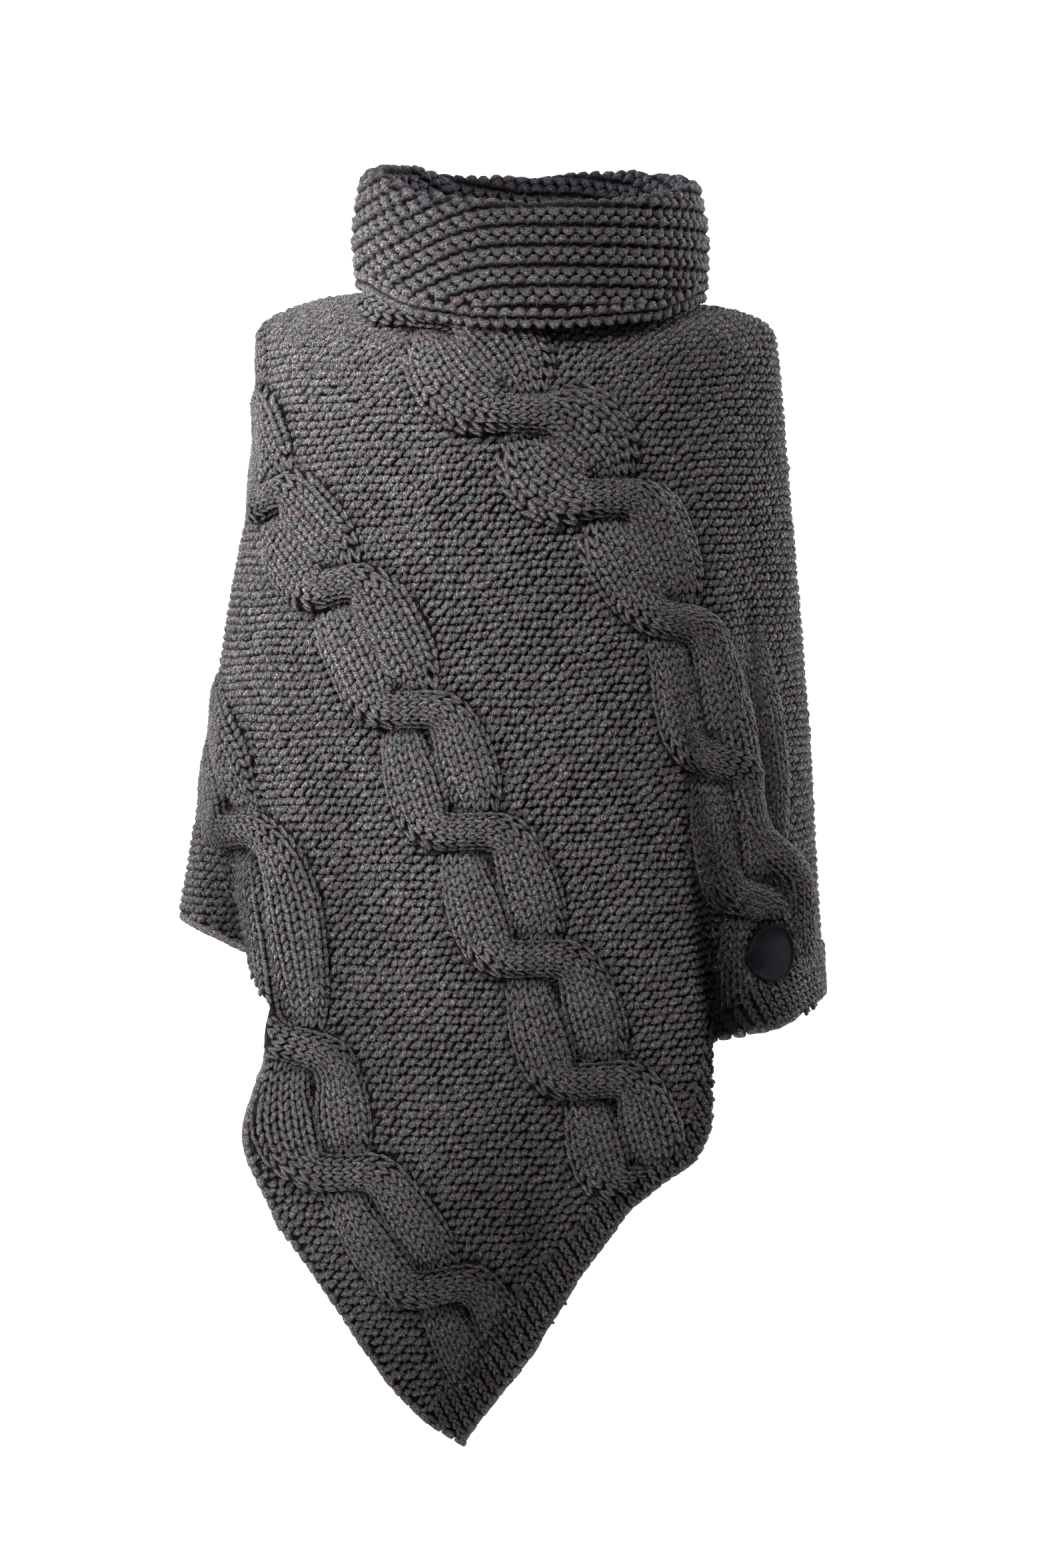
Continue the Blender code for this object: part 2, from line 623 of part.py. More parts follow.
def cowl_section():
    """One turn of the cowl's section: layer, share of its height and offset outward; on
    the rim the share is the drop under its crown."""
    section_nodes = []
    steps = 2 * COWL_RIDGES
    half_rise = 0.5 * COWL_RIDGE_RISE
    for k in range(steps + 1):
        wave = half_rise if k % 2 else -half_rise
        section_nodes.append(("inner", k / steps * COWL_INNER_TOP, wave if k else 0.0))
    section_nodes.append(("rim", COWL_RIM_DROP, -COWL_RIM_HALF))
    section_nodes.append(("rim", 0.0, 0.0))
    section_nodes.append(("rim", COWL_RIM_DROP, COWL_RIM_HALF))
    for k in range(steps + 1):
        share = COWL_OUTER_TOP - k / steps * (COWL_OUTER_TOP - COWL_OUTER_LOW)
        section_nodes.append(("outer", share, -half_rise if k % 2 else half_rise))
    section_nodes.append(("outer", 0.0, -0.5 * COWL_WALL))
    for share in (COWL_OUTER_LOW, 0.25, 0.5, 0.75, 0.88):
        section_nodes.append(("outer", share, -COWL_WALL))
    section_nodes.append(("rim", COWL_WALL + 1.0, -1.0))
    for share in (0.88, 0.7, 0.45, 0.2, 0.0):
        section_nodes.append(("inner", share, COWL_WALL))
    return section_nodes


def cowl_point(angle, layer, share, offset):
    degrees = np.degrees(angle)
    rim = np.interp(degrees, RIM["angle"], RIM["height"])
    edge = np.interp(degrees, COWL_EDGE["angle"], COWL_EDGE["height"])
    seam = by_direction(angle, NECK_HEIGHT) + SEAM_GAP
    neck = {"left": NECK["half_width"] - NECK["middle"],
            "right": NECK["half_width"] + NECK["middle"],
            "front": NECK["front"], "back": NECK["back"]}
    if layer == "rim":
        inside = COWL_RIM_TUCK + 1.25 * COWL_WALL
        x, y = cowl_ring(angle, COWL_OUTER, offset - inside)
        return np.stack([x, y, rim - share], axis=-1)
    if layer == "outer":
        tuck = COWL_RIM_TUCK * share ** 3 + COWL_EDGE_TUCK * (1.0 - share) ** 3
        x, y = cowl_ring(angle, COWL_OUTER, offset - tuck)
        return np.stack([x, y, edge + (rim - edge) * share], axis=-1)
    low_x, low_y = cowl_ring(angle, neck, offset - 6.0 * share * (1.0 - share))
    high_x, high_y = cowl_ring(angle, COWL_OUTER, offset - COWL_RIM_TUCK - 2.5 * COWL_WALL)
    lean = share * share
    return np.stack([low_x + (high_x - low_x) * lean,
                     low_y + (high_y - low_y) * lean,
                     seam + (rim - seam) * share], axis=-1)


def make_cowl():
    angle = np.radians(-180.0 + 360.0 * np.arange(COWL_COLUMNS_ROUND) / COWL_COLUMNS_ROUND)
    rows = [cowl_point(angle, *node) for node in cowl_section()]
    bm = bmesh.new()
    v = add_grid(bm, np.array(rows))
    count = len(v)
    for r in range(count):
        for c in range(COWL_COLUMNS_ROUND):
            d = (c + 1) % COWL_COLUMNS_ROUND
            s = (r + 1) % count
            face(bm, v[r][c], v[r][d], v[s][d], v[s][c])
    bmesh.ops.recalc_face_normals(bm, faces=bm.faces)
    bmesh.ops.triangulate(bm, faces=bm.faces)
    return new_object("cowl", bm, (0.075, 0.073, 0.076), 0.95)


# ---------------------------------------------------------------- the badge
def make_badge(wrap):
    tree = BVHTree.FromObject(wrap, bpy.context.evaluated_depsgraph_get())
    aim = Vector((BADGE_AT[0] * MM, 0.0, BADGE_AT[1] * MM))
    middle = tree.ray_cast(aim + Vector((0.0, -0.5, 0.0)), Vector((0.0, 1.0, 0.0)))[0]
    normal = Vector(BADGE_FACING).normalized()
    up = Vector((0.0, 0.0, 1.0))
    right = up.cross(normal)
    bm = bmesh.new()

    def face_rows(offsets):
        rows = []
        for share, offset in zip(BADGE_RINGS, offsets):
            row = []
            for k in range(BADGE_STEPS_ROUND if share else 1):
                turn = 2.0 * np.pi * k / BADGE_STEPS_ROUND
                reach = share * BADGE_RADIUS * MM
                start = middle + right * (reach * np.cos(turn)) + up * (reach * np.sin(turn))
                spot = tree.ray_cast(start + normal * 0.1, -normal)[0]
                row.append(bm.verts.new(spot + normal * offset * MM))
            rows.append(row)
        return rows

    low = BADGE_LIFT
    high = BADGE_LIFT + BADGE_THICKNESS
    back = face_rows((low, low, low, low, low + BADGE_SOFT_EDGE))
    front = face_rows((high, high, high, high + BADGE_RIM, high - BADGE_SOFT_EDGE))
    for rows in (front, back):
        for k in range(BADGE_STEPS_ROUND):
            m = (k + 1) % BADGE_STEPS_ROUND
            face(bm, rows[0][0], rows[1][k], rows[1][m])
            for near, far in zip(rows[1:-1], rows[2:]):
                face(bm, near[k], far[k], far[m], near[m])
    for k in range(BADGE_STEPS_ROUND):
        m = (k + 1) % BADGE_STEPS_ROUND
        face(bm, front[-1][k], back[-1][k], back[-1][m], front[-1][m])
    bmesh.ops.recalc_face_normals(bm, faces=bm.faces)
    bmesh.ops.triangulate(bm, faces=bm.faces)
    return new_object("badge", bm, (0.006, 0.007, 0.010), 0.8)


clear_scene()
wrap_object = make_wrap()
make_cowl()
make_badge(wrap_object)
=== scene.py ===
import bpy
import bmesh
import numpy as np
from mathutils import Matrix, Vector, kdtree
from mathutils.bvhtree import BVHTree
from mathutils.geometry import delaunay_2d_cdt


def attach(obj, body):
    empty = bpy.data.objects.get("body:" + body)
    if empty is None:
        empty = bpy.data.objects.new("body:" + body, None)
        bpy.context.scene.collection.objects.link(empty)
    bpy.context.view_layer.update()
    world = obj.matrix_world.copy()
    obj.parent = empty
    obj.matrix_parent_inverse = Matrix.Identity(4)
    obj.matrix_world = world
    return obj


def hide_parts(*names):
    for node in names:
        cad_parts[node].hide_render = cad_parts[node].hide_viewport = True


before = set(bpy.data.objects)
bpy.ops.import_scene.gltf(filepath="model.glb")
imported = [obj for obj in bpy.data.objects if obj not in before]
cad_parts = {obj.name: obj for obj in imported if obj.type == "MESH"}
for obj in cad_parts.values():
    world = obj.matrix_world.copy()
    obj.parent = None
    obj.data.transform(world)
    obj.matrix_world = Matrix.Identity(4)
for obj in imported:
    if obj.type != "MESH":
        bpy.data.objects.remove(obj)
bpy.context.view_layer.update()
bpy.context.scene.view_settings.view_transform = "Standard"

# ================================================================= wrap: the knitted cloth
# One long strip of bulky heather-charcoal wool, knitted purl side out with rope cables,
# laid slantwise round the body and over the right shoulder. Its end is joined down the
# left side. This section makes the cloth itself, which the stitches below stand on.
MM = 0.001
WALL = 5.0
SEAM_GAP = 0.3
EDGE_PITCH = 5.0
OUTER_STEP = 5.6
INNER_STEP = 13.0
CAP_LENGTH = 110.0         # from the neck to the shoulder's end: fall 0 to 1
DROP_LENGTH = 1000.0       # one unit of fall below that
ANGLE_LENGTH = 3.7         # one degree round the body

NECK = {"middle": 3.0, "half_width": 110.0, "front": 84.0, "back": 90.0}
NECK_HEIGHT = {"left": 18.0, "right": 9.5, "front": -2.0, "back": 14.0}
SHOULDER_DROP = {"left": 34.0, "right": 25.5, "front": 94.0, "back": 86.0}
SECTION_POWER = 2.25
CHEST_FULLNESS = 1.6
SECTION_COLUMNS = ("height", "left", "right", "front", "back")
SECTION_ROWS = (
    (-860.0, 296.0, 236.0, 142.0, 140.0),
    (-610.0, 281.0, 229.0, 150.0, 142.0),
    (-510.0, 269.0, 223.0, 150.0, 140.0),
    (-446.0, 260.0, 219.0, 148.0, 137.0),
    (-313.0, 237.0, 211.5, 141.0, 130.0),
    (-210.0, 221.0, 203.0, 134.0, 124.0),
    (-148.0, 209.0, 197.5, 128.0, 119.0),
    (-100.0, 202.0, 193.5, 121.0, 113.0),
    (-40.0, 199.0, 188.5, 110.0, 105.0),
    (-13.0, 198.0, 185.0, 104.0, 100.0),
    (40.0, 193.0, 180.0, 96.0, 94.0),
)
TIP_ANGLE = -7.5           # the long front corner
HEM = (                    # angle round the body, height
    (-90.0, -447.0), (-63.0, -455.0), (-52.0, -470.0), (-44.0, -487.0), (-39.5, -502.0),
    (-38.6, -545.0), (-38.0, -590.0), (-37.0, -625.0), (-35.5, -664.0), (-25.5, -723.0),
    (-17.0, -778.0), (-12.0, -803.0), (TIP_ANGLE, -818.0), (-1.0, -767.0), (2.0, -736.0),
    (7.5, -695.0), (16.0, -648.0), (22.0, -629.0), (29.0, -612.0), (33.0, -590.0),
    (34.6, -562.0), (36.0, -545.0), (38.5, -533.0), (46.0, -523.0), (59.0, -515.0),
    (84.0, -506.0), (90.0, -504.0),
)
BACK_HEM = (
    (90.0, -504.0), (110.0, -502.0), (128.0, -508.0), (140.0, -520.0), (152.0, -560.0),
    (165.0, -625.0), (176.0, -690.0), (188.0, -672.0), (200.0, -620.0), (212.0, -550.0),
    (222.0, -482.0), (235.0, -456.0), (250.0, -449.0), (270.0, -447.0),
)
# side, across and up at its top, across and up at its foot, its two widths, its two depths
FOLDS = (
    ("front", 130.0, -396.0, 163.0, -550.0, 11.0, 19.0, 3.0, 32.0),
    ("front", 100.0, -430.0, 112.0, -600.0, 30.0, 30.0, -3.0, -10.0),
    ("front", 205.0, -420.0, 205.0, -525.0, 30.0, 28.0, -3.0, -6.0),
    ("front", -268.0, -380.0, -232.0, -470.0, 34.0, 30.0, 6.0, 22.0),
    ("front", -178.0, -380.0, -195.0, -590.0, 24.0, 26.0, -5.0, -9.0),
    ("front", -152.0, -300.0, -120.0, -540.0, 30.0, 34.0, 3.0, 9.0),
    ("front", 150.0, -180.0, 163.0, -330.0, 24.0, 24.0, -4.0, -7.0),
    ("front", 182.0, -262.0, 186.0, -340.0, 14.0, 14.0, 5.0, 7.0),
    ("front", 20.0, -560.0, -50.0, -760.0, 44.0, 40.0, 3.0, 9.0),
    ("back", -120.0, -220.0, -110.0, -560.0, 50.0, 50.0, 3.0, 14.0),
    ("back", -20.0, -260.0, 5.0, -660.0, 44.0, 44.0, -3.0, -12.0),
    ("back", 110.0, -240.0, 95.0, -560.0, 46.0, 46.0, 3.0, 14.0),
    ("back", -215.0, -260.0, -235.0, -440.0, 44.0, 44.0, -2.0, -7.0),
    ("back", 200.0, -260.0, 205.0, -480.0, 44.0, 44.0, -2.0, -7.0),
)
FOLD_END_FADE = 45.0
FOLD_SIDE_FADE = 0.25
FOLD_SHADE_DEPTH = 27.0    # little light reaches the bottom of a fold this deep
DEEP_FOLD_WIDTH = (13.0, 27.0)
DEEP_FOLD_DARK = (0.74, 0.96)
DEEP_FOLD_ASIDE = 6.0
# shaded places on the front: across, up, half width, half height, share of light lost
SHADED = (
    (-247.0, -414.0, 32.0, 58.0, 0.50),
    (-22.0, -590.0, 80.0, 120.0, 0.18),
    (3.0, -672.0, 17.0, 36.0, 0.42),
)
SWING = {"across": -216.0, "up": -604.0, "radius": 56.0, "move": (-26.0, -9.0, 0.0)}


def table(columns, rows):
    return {name: np.array(values, float) for name, values in zip(columns, zip(*rows))}


SECTION = table(SECTION_COLUMNS, SECTION_ROWS)


def power(value, exponent):
    return np.sign(value) * np.abs(value) ** exponent


def smooth_step(low, high, value):
    part = np.clip((value - low) / (high - low), 0.0, 1.0)
    return part * part * (3.0 - 2.0 * part)


def unit(vectors):
    return vectors / np.maximum(np.linalg.norm(vectors, axis=-1, keepdims=True), 1e-9)


def running(steps, axis=0):
    """Running total of the steps, starting from nothing."""
    return np.concatenate([np.zeros_like(np.take(steps, [0], axis)),
                           np.cumsum(steps, axis=axis)], axis=axis)


def length_run(points):
    return running(np.linalg.norm(np.diff(points, axis=0), axis=-1))


def along_line(places, run, line):
    """Points of a line, or of its columns of values, at lengths along it."""
    return np.stack([np.interp(places, run, column) for column in line.T], axis=-1)


def reaches(angle, sizes):
    """The side size and the front or back size that hold in a direction."""
    return (np.where(np.sin(angle) < 0.0, sizes["left"], sizes["right"]),
            np.where(np.cos(angle) > 0.0, sizes["front"], sizes["back"]))


def by_direction(angle, sizes):
    """Blends a side size into the front and back sizes round the body."""
    side, end = reaches(angle, sizes)
    return side + (end - side) * np.cos(angle) * np.cos(angle)


def body_ring(angle, sizes, squareness, grow=0.0):
    """Point of a rounded level section of the body, grown by some millimetres."""
    side, deep = reaches(angle, sizes)
    return ((side + grow) * power(np.sin(angle), 2.0 / squareness),
            -(deep + grow) * power(np.cos(angle), 2.0 / squareness))


def shoulder_line(angle):
    """Heights of the neck edge and of the shoulder's end in a direction."""
    top = by_direction(angle, NECK_HEIGHT)
    return top, top - by_direction(angle, SHOULDER_DROP)


def form(angle, fall):
    """Smooth form of the wrap: fall 0 to 1 crosses the shoulder, beyond 1 it hangs."""
    top, shoulder = shoulder_line(angle)
    neck_x = NECK["middle"] + NECK["half_width"] * np.sin(angle)
    neck_y = -np.where(np.cos(angle) > 0.0, NECK["front"], NECK["back"]) * np.cos(angle)
    part = np.clip(fall, 0.0, 1.0)
    facing = np.cos(angle) ** 2
    out = ((1.0 - facing) * np.sin(0.5 * np.pi * part)
           + facing * (1.0 - (1.0 - part) ** CHEST_FULLNESS))
    down = (1.0 - facing) * (1.0 - np.cos(0.5 * np.pi * part)) + facing * part
    height = np.where(fall <= 1.0, top + (shoulder - top) * down,
                      shoulder - (fall - 1.0) * DROP_LENGTH)
    low = np.minimum(height, shoulder)
    sizes = {name: np.interp(low, SECTION["height"], SECTION[name]) for name in SECTION}
    full_x, full_y = body_ring(angle, sizes, SECTION_POWER)
    return np.stack([neck_x + (full_x - neck_x) * out,
                     neck_y + (full_y - neck_y) * out, height], axis=-1)


TABLE_ANGLES = np.radians(np.linspace(-180.0, 180.0, 361))
LEFT_COLUMN, FRONT_COLUMN, RIGHT_COLUMN = 90, 180, 270
SHOULDER_ROW = 20
TABLE_FALLS = np.concatenate([np.linspace(0.0, 1.0, SHOULDER_ROW + 1),
                              1.0 + np.linspace(0.02, 0.9, 45)])


def cloth_table():
    """Flat-cloth coordinates (across, up) over a fine net of the form."""
    net = form(TABLE_ANGLES[None, :], TABLE_FALLS[:, None])
    arc = running(np.linalg.norm(np.diff(net, axis=1), axis=2), 1)
    arc -= arc[:, FRONT_COLUMN:FRONT_COLUMN + 1]
    left = arc[:, LEFT_COLUMN:LEFT_COLUMN + 1]
    right = arc[:, RIGHT_COLUMN:RIGHT_COLUMN + 1]
    on_left, on_right = slice(0, LEFT_COLUMN), slice(RIGHT_COLUMN + 1, None)
    across = arc.copy()
    across[:, on_left] = ((arc - arc[:, :1]) * left / (left - arc[:, :1]))[:, on_left]
    across[:, on_right] = ((arc[:, -1:] - arc) * right / (arc[:, -1:] - right))[:, on_right]
    run = length_run(net)
    return np.array([across, net[SHOULDER_ROW, :, 2] + (run[SHOULDER_ROW] - run)])


TABLE = cloth_table()


def lookup(angle, fall):
    """Flat-cloth coordinates, across and up, of points given by angle and fall."""
    i = np.clip(np.mod(angle + np.pi, 2.0 * np.pi) / (TABLE_ANGLES[1] - TABLE_ANGLES[0]),
                0.0, len(TABLE_ANGLES) - 1.001)
    j = np.clip(np.interp(fall, TABLE_FALLS, np.arange(len(TABLE_FALLS))),
                0.0, len(TABLE_FALLS) - 1.001)
    i0, j0 = i.astype(int), j.astype(int)
    u, v = i - i0, j - j0
    low = TABLE[:, j0, i0] * (1.0 - u) + TABLE[:, j0, i0 + 1] * u
    high = TABLE[:, j0 + 1, i0] * (1.0 - u) + TABLE[:, j0 + 1, i0 + 1] * u
    return low * (1.0 - v) + high * v


def flat_steps(angle, fall, step, least):
    """Flat coordinates, their change by radian and by unit of fall, and the area that
    the two changes span, never under the least."""
    here = lookup(angle, fall)
    turned = (lookup(angle + step, fall) - here) / step
    fallen = (lookup(angle, fall + step) - here) / step
    area = turned[0] * fallen[1] - turned[1] * fallen[0]
    return here, turned, fallen, np.where(np.abs(area) < least, least, area)


def beside_fold(fold, across, up):
    """Length of a fold, and how far along it and off it each point lies."""
    x1, z1, x2, z2 = fold[1:5]
    length = np.hypot(x2 - x1, z2 - z1)
    return (length, ((across - x1) * (x2 - x1) + (up - z1) * (z2 - z1)) / length,
            ((across - x1) * (z2 - z1) - (up - z1) * (x2 - x1)) / length)


def fold_depth(angle, across, up):
    """How far the folds push the cloth inward at each point."""
    depth = np.zeros_like(across)
    for fold in FOLDS:
        width, end_width, deep, end_deep = fold[5:]
        length, along, off = beside_fold(fold, across, up)
        part = np.clip(along / length, 0.0, 1.0)
        local = ((deep + (end_deep - deep) * part)
                 * np.exp(-(off / (width + (end_width - width) * part)) ** 2)
                 * np.exp(-((along - part * length) / FOLD_END_FADE) ** 2))
        depth += np.where((np.cos(angle) >= 0.0) == (fold[0] == "front"), local, 0.0)
    return depth * smooth_step(0.0, FOLD_SIDE_FADE, np.abs(np.cos(angle)))


def fold_shade(angle, across, up):
    """Light left in the folds, beside the deep one left of the badge, and where shaded."""
    length, along, off = beside_fold(FOLDS[0], across, up)
    part = np.clip(along / length, -0.5, 1.2)
    width = DEEP_FOLD_WIDTH[0] + (DEEP_FOLD_WIDTH[1] - DEEP_FOLD_WIDTH[0]) * part
    dark = (DEEP_FOLD_DARK[0] + (DEEP_FOLD_DARK[1] - DEEP_FOLD_DARK[0]) * part) * np.exp(
        -((off + DEEP_FOLD_ASIDE) / width) ** 2 - ((along - part * length) / FOLD_END_FADE) ** 2)
    in_front = np.cos(angle) > 0.0
    light = (1.0 - np.where(in_front, np.clip(dark, 0.0, 0.93), 0.0)) * np.clip(
        1.0 - fold_depth(angle, across, up) / FOLD_SHADE_DEPTH, 0.25, 1.0)
    for x, z, half_width, half_height, lost in SHADED:
        near = np.exp(-((across - x) / half_width) ** 2 - ((up - z) / half_height) ** 2)
        light *= 1.0 - np.where(in_front, lost * near, 0.0)
    return light


def cloth_point(angle, fall):
    """The cloth's outer face: the form with its folds and the swinging corner."""
    across, up = lookup(angle, fall)
    step = 0.004
    ring = form(angle + step, fall) - form(angle - step, fall)
    down = form(angle, fall + step) - form(angle, np.maximum(fall - step, 0.0))
    out = np.cross(down, ring)
    out[..., 2] *= np.where(fall < 1.0, 1.0, 0.0)
    point = form(angle, fall) - unit(out) * fold_depth(angle, across, up)[..., None]
    reach = np.hypot(across - SWING["across"], up - SWING["up"]) / SWING["radius"]
    pull = np.where(np.cos(angle) > 0.0, np.exp(-reach ** 2), 0.0)
    return point + pull[..., None] * np.array(SWING["move"])


def cloth_frame(angle, fall):
    """Outer point, outward normal, and the steps of the surface for one millimetre
    across and one millimetre up in the flat cloth."""
    turn, drop = 0.012, 0.006
    high = np.maximum(fall - drop, 0.0)
    ring = (cloth_point(angle + turn, fall) - cloth_point(angle - turn, fall)) / (2 * turn)
    down = (cloth_point(angle, fall + drop) - cloth_point(angle, high)) / (
        fall + drop - high)[..., None]
    _, turned, fallen, area = flat_steps(angle, fall, 0.01, 1e-6)
    across_step = ring * fallen[1][..., None] - down * turned[1][..., None]
    up_step = down * turned[0][..., None] - ring * fallen[0][..., None]
    return (cloth_point(angle, fall), unit(np.cross(down, ring)),
            across_step / area[..., None], up_step / area[..., None])


def to_net(angle, fall):
    """Nominal flat position, near true lengths, used to space points and test edges."""
    down = CAP_LENGTH * np.minimum(fall, 1.0) + DROP_LENGTH * np.maximum(fall - 1.0, 0.0)
    return np.stack([np.degrees(angle) * ANGLE_LENGTH, down], axis=-1)


def from_net(net):
    over = net[..., 1] - CAP_LENGTH
    fall = np.where(over < 0.0, net[..., 1] / CAP_LENGTH, 1.0 + over / DROP_LENGTH)
    return np.radians(net[..., 0] / ANGLE_LENGTH), np.maximum(fall, 0.0)


def edge_fall(angle, height):
    return 1.0 + (shoulder_line(angle)[1] - height) / DROP_LENGTH


def hem_line(rows, turn, pitch):
    """Points of one stretch of the hem in the net, evenly spaced."""
    degrees, heights = np.array(rows).T
    angles = np.radians(degrees + turn)
    falls = edge_fall(angles, heights)
    ends = to_net(angles, falls)
    line = []
    for k, gap in enumerate(np.hypot(*np.diff(ends, axis=0).T)):
        parts = max(1, int(np.ceil(gap / pitch)))
        share = np.arange(parts) / parts
        line.append(to_net(angles[k] + (angles[k + 1] - angles[k]) * share,
                           falls[k] + (falls[k + 1] - falls[k]) * share))
    return np.vstack(line + [ends[-1:]])


def wrap_outline(pitch):
    """Closed outline of the wrap in the net: hem, one seam edge, neck, other seam edge."""
    hem = np.vstack([hem_line(HEM[::-1], 0.0, pitch),
                     hem_line(BACK_HEM[::-1], -360.0, pitch)[1:]])
    start, end = hem[0], hem[-1]
    rise = np.linspace(1.0, 0.0, int(np.ceil(start[1] / pitch)) + 1)[1:]
    across = np.linspace(end[0], start[0], int(np.ceil((start[0] - end[0]) / pitch)) + 1)[1:]
    far_side = np.stack([np.full_like(rise, end[0]), end[1] * rise], axis=-1)
    neck = np.stack([across, np.zeros_like(across)], axis=-1)
    near_side = np.stack([np.full_like(rise, start[0]), start[1] * rise], axis=-1)
    return np.vstack([hem, far_side, neck, near_side[::-1][1:]])


OUTLINE = wrap_outline(EDGE_PITCH)


def inside_outline(points):
    x, y = points[:, 0], points[:, 1]
    inside = np.zeros(len(points), bool)
    for (x1, y1), (x2, y2) in zip(OUTLINE, np.roll(OUTLINE, -1, axis=0)):
        crosses = (y1 > y) != (y2 > y)
        with np.errstate(divide="ignore", invalid="ignore"):
            at = x1 + (y - y1) * (x2 - x1) / (y2 - y1)
        inside ^= crosses & (x < at)
    return inside


def flat_tree(points):
    """Search tree over points of a plane."""
    tree = kdtree.KDTree(len(points))
    for index, (x, y) in enumerate(points):
        tree.insert((x, y, 0.0), index)
    tree.balance()
    return tree


def nearest_of(points, others):
    """For each point of the plane, the nearest of the others and how far it is."""
    tree = flat_tree(others)
    found = [tree.find((x, y, 0.0))[1:] for x, y in points]
    return np.array([f[0] for f in found], int), np.array([f[1] for f in found], float)


def distance_to(points, others):
    return nearest_of(points, others)[1]


# cables: where their strands cross, in the flat cloth (across, up)
CABLES = {
    "cable_neck": ((-114.0, 96.0), (-70.0, 12.0), (-1.0, -75.0), (61.0, -136.0),
                   (110.0, -225.0), (145.0, -326.0), (176.0, -428.0), (208.0, -530.0)),
    "cable_middle": ((-300.0, 20.0), (-264.0, -66.0), (-213.0, -136.0), (-142.0, -200.0),
                     (-86.0, -289.0), (-41.0, -376.0), (6.0, -467.0), (50.0, -555.0),
                     (88.0, -630.0), (128.0, -712.0)),
    "cable_edge": ((-345.0, -290.0), (-228.0, -380.0), (-168.0, -534.0), (-131.0, -624.0),
                   (-63.0, -705.0), (-5.0, -780.0), (52.0, -862.0)),
    "cable_side": ((150.0, -180.0), (204.0, -398.0), (258.0, -600.0)),
}
# some cables change along their turns: at first, at last, from which turn, to which turn
WIDER = {"cable_neck": (1.52, 1.02, 2.2, 4.4), "cable_middle": (1.18, 1.18, 0.0, 1.0),
         "cable_edge": (1.3, 1.02, 1.2, 1.9)}
CROSS_LENGTH = 0.125       # how quickly the strands change sides, as a share of a repeat
SLOWER_CROSSING = {"cable_neck": (0.30, 0.135, 1.6, 4.2)}
# above these turns the strands swell and close the hollow between them
FULL_LOBES = {"cable_neck": (1.0, 0.0, 3.8, 4.3), "cable_middle": (1.0, 0.0, 3.8, 4.2)}
BEGINS = {"cable_side": (0.0, 1.0, 0.26, 0.55)}
FULLNESS = 3.6
STRAND_HALF_WIDTH = 19.0
STRAND_CROSSING_HALF_WIDTH = 13.0
STRAND_SPREAD = 18.0
STRAND_DRIFT = 7.0         # the strands run back this far between two crossings
STRAND_RISE = 11.0
OVER_LIFT = 5.0
UNDER_SINK = 9.0
CROSS_REACH = 0.19
HOLLOW_AT = (0.29, 0.11)   # where the hollow below a crossing lies, and its length
HOLLOW_NARROWING = 2.6     # the strands part there and leave a hollow
STRAND_SHAPE = (2.3, 0.55)
NECK_PLAIN = (0.02, 0.14)
BADGE_FLAT = (199.0, -466.0)
BADGE_CLEAR = (21.0, 60.0)
UNDER_BADGE = 0.08
ARM_SIDE_PRESS = 0.3
ARM_SIDE_REACH = 0.4
RIB_DEPTH = (20.0, 38.0)   # narrow along the slanted end, deeper below the badge
RIB_FADE = (0.55, 1.25)
STITCH_SINK = 2.6          # the cloth under the stitches lies this far in


def smooth_line(points, per_part=12):
    """Smooth line through the points, with its crossing count."""
    pts = np.array(points, float)
    ends = np.vstack([2 * pts[0] - pts[1], pts, 2 * pts[-1] - pts[-2]])
    t = (np.arange(per_part) / per_part)[:, None]
    line = [0.5 * (2 * p1 + (p2 - p0) * t + (2 * p0 - 5 * p1 + 4 * p2 - p3) * t ** 2
                   + (3 * p1 - p0 - 3 * p2 + p3) * t ** 3)
            for p0, p1, p2, p3 in zip(ends, ends[1:], ends[2:], ends[3:])]
    count = np.arange(per_part * (len(pts) - 1) + 1) / per_part
    return np.vstack(line + [pts[-1:]]), count


def changing(turn, first, last, start, end):
    """Goes from the first value to the last between two turns of a cable."""
    return first + (last - first) * smooth_step(start, end, turn)


